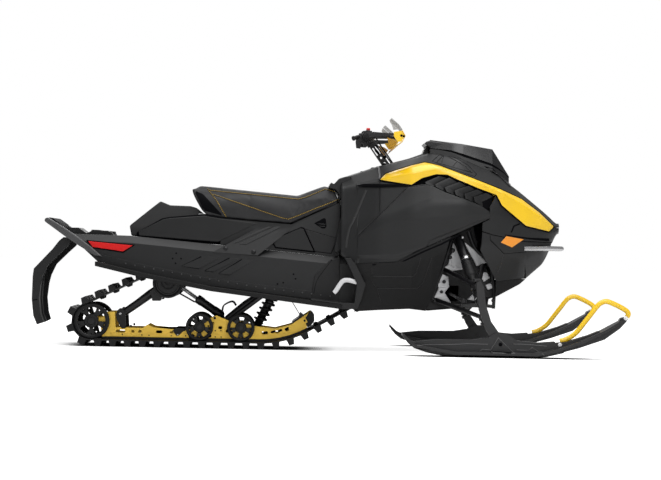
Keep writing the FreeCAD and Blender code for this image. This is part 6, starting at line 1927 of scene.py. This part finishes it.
def traced(tree, line, side, rise=0.0005, step=0.010):
    """Points on a piece along a line of (x, z); places off the piece are left out."""
    found = [on_side(tree, x, z, side, rise) for x, z in zip(*spaced(line, step, True))]
    return np.array([point for point in found if point is not None])


LOOP = mm(1106, 84, 1130, 90, 1160, 106, 1187, 129, 1213, 162, 1250, 211, 1280, 251, 1300, 269,
    1328, 276, 1370, 261, 1408, 242, 1426, 229, 1431, 216, 1425, 202)
CREASE_HIGHLIGHTS = [mm(772, 32, 809, 94, 883, 24), mm(774, 31, 780, 24.5, 884, 23.5), mm(720, 27, 735, 38,
    776, 35), mm(896, 38, 956, 37, 971, 51, 1026, 16), mm(420, 52, 590, 58, 670, 63, 760, 62),
    mm(880, 66, 960, 64, 1040, 58)]
SLOT = mm(782, 26.5, 866, 25.5)
SPARE = mm(1080, 74, 1135, 81, 1241, 115, 1300, 140, 1300, 300, 1080, 300)
for side, name in ((-1, "right"), (1, "left")):
    body = "ski_set_" + name
    carved("ski_" + name, f"ski_{name}_finished", SPARE, "DIFFERENCE", 1, "ski", ["ski_" + name],
        width=0.003, reach=0.8)
    centre = side * 0.500
    tree = BVHTree.FromPolygons(*seen_mesh(frame["nodes"]["ski_" + name].data))
    path = smooth_path([(x, centre, z) for x, z in LOOP], 120)
    made(f"ski_loop_{name}_finished", tube(path, 0.0122, 20, 0.75), "yellow", body=body,
        nodes=[f"ski_loop_{name}"])
    # The crease lines are painted in a light grey as the highlight along each crease.
    lines = [traced(tree, line, side) for line in CREASE_HIGHLIGHTS]
    lines = [tube(points, 0.0021, 8) for points in lines if len(points) > 2]
    made(f"ski_crease_highlights_{name}", gather(*lines), "ski", body=body, paint="edge_grey")
    # The saddle's slot and pin hole are near-black: painted shade inside them.
    slot = traced(tree, SLOT, side, 0)
    hole = on_side(tree, 0.820, 0.063, side)
    made(f"ski_saddle_shadows_{name}", gather(tube(slot, 0.0036, 8), turned(mm(-4, 0, -4, 8.5, 1.2, 8.5,
        1.2, 0), hole, (0, side, 0), 24)), "ski", body=body, paint=DARK)
    places = [on_side(tree, x, z, side) for x, z in ((1.103, 0.066), (1.414, 0.199))]
    places = [point for point in places if point is not None]
    made(f"ski_loop_bolts_{name}", heads(places, 0.01, 0.006, (0, side, 0), 20), "steel",
        body=body, paint="white_plastic")
    runner = plate(mm(560, 3, 600, 0.8, 980, 0.8, 1020, 4, 1010, 8, 580, 8), centre - 0.006,
        centre + 0.006)
    made(f"ski_runner_{name}", runner, "ski", 0.001, body=body, paint="steel")
    tip = plate(mm(1085, 70, 1140, 76, 1241, 110, 1368, 158, 1392, 199, 1418, 205, 1424, 196, 1420,
        182, 1390, 148, 1317, 94, 1204, 54, 1121, 30), centre - 0.02, centre + 0.02)
    tail = plate(mm(357, 89, 372, 86, 408, 69, 480, 66, 600, 64, 600, 20, 470, 28, 412, 36, 384,
        58), centre - 0.022, centre + 0.022)
    keel = plate(mm(412, 37, 470, 18, 520, 8, 566, 2, 640, 4, 640, 20, 470, 34), centre - 0.03,
        centre + 0.03)
    prow = plate(mm(930, 3, 980, 2, 1040, 7, 1121, 27, 1130, 42, 1000, 32, 930, 12), centre - 0.03,
        centre + 0.03)
    made(f"ski_ribs_{name}", gather(tip, tail, keel, prow), "ski", 0.004, body=body)
print("ski details ready")
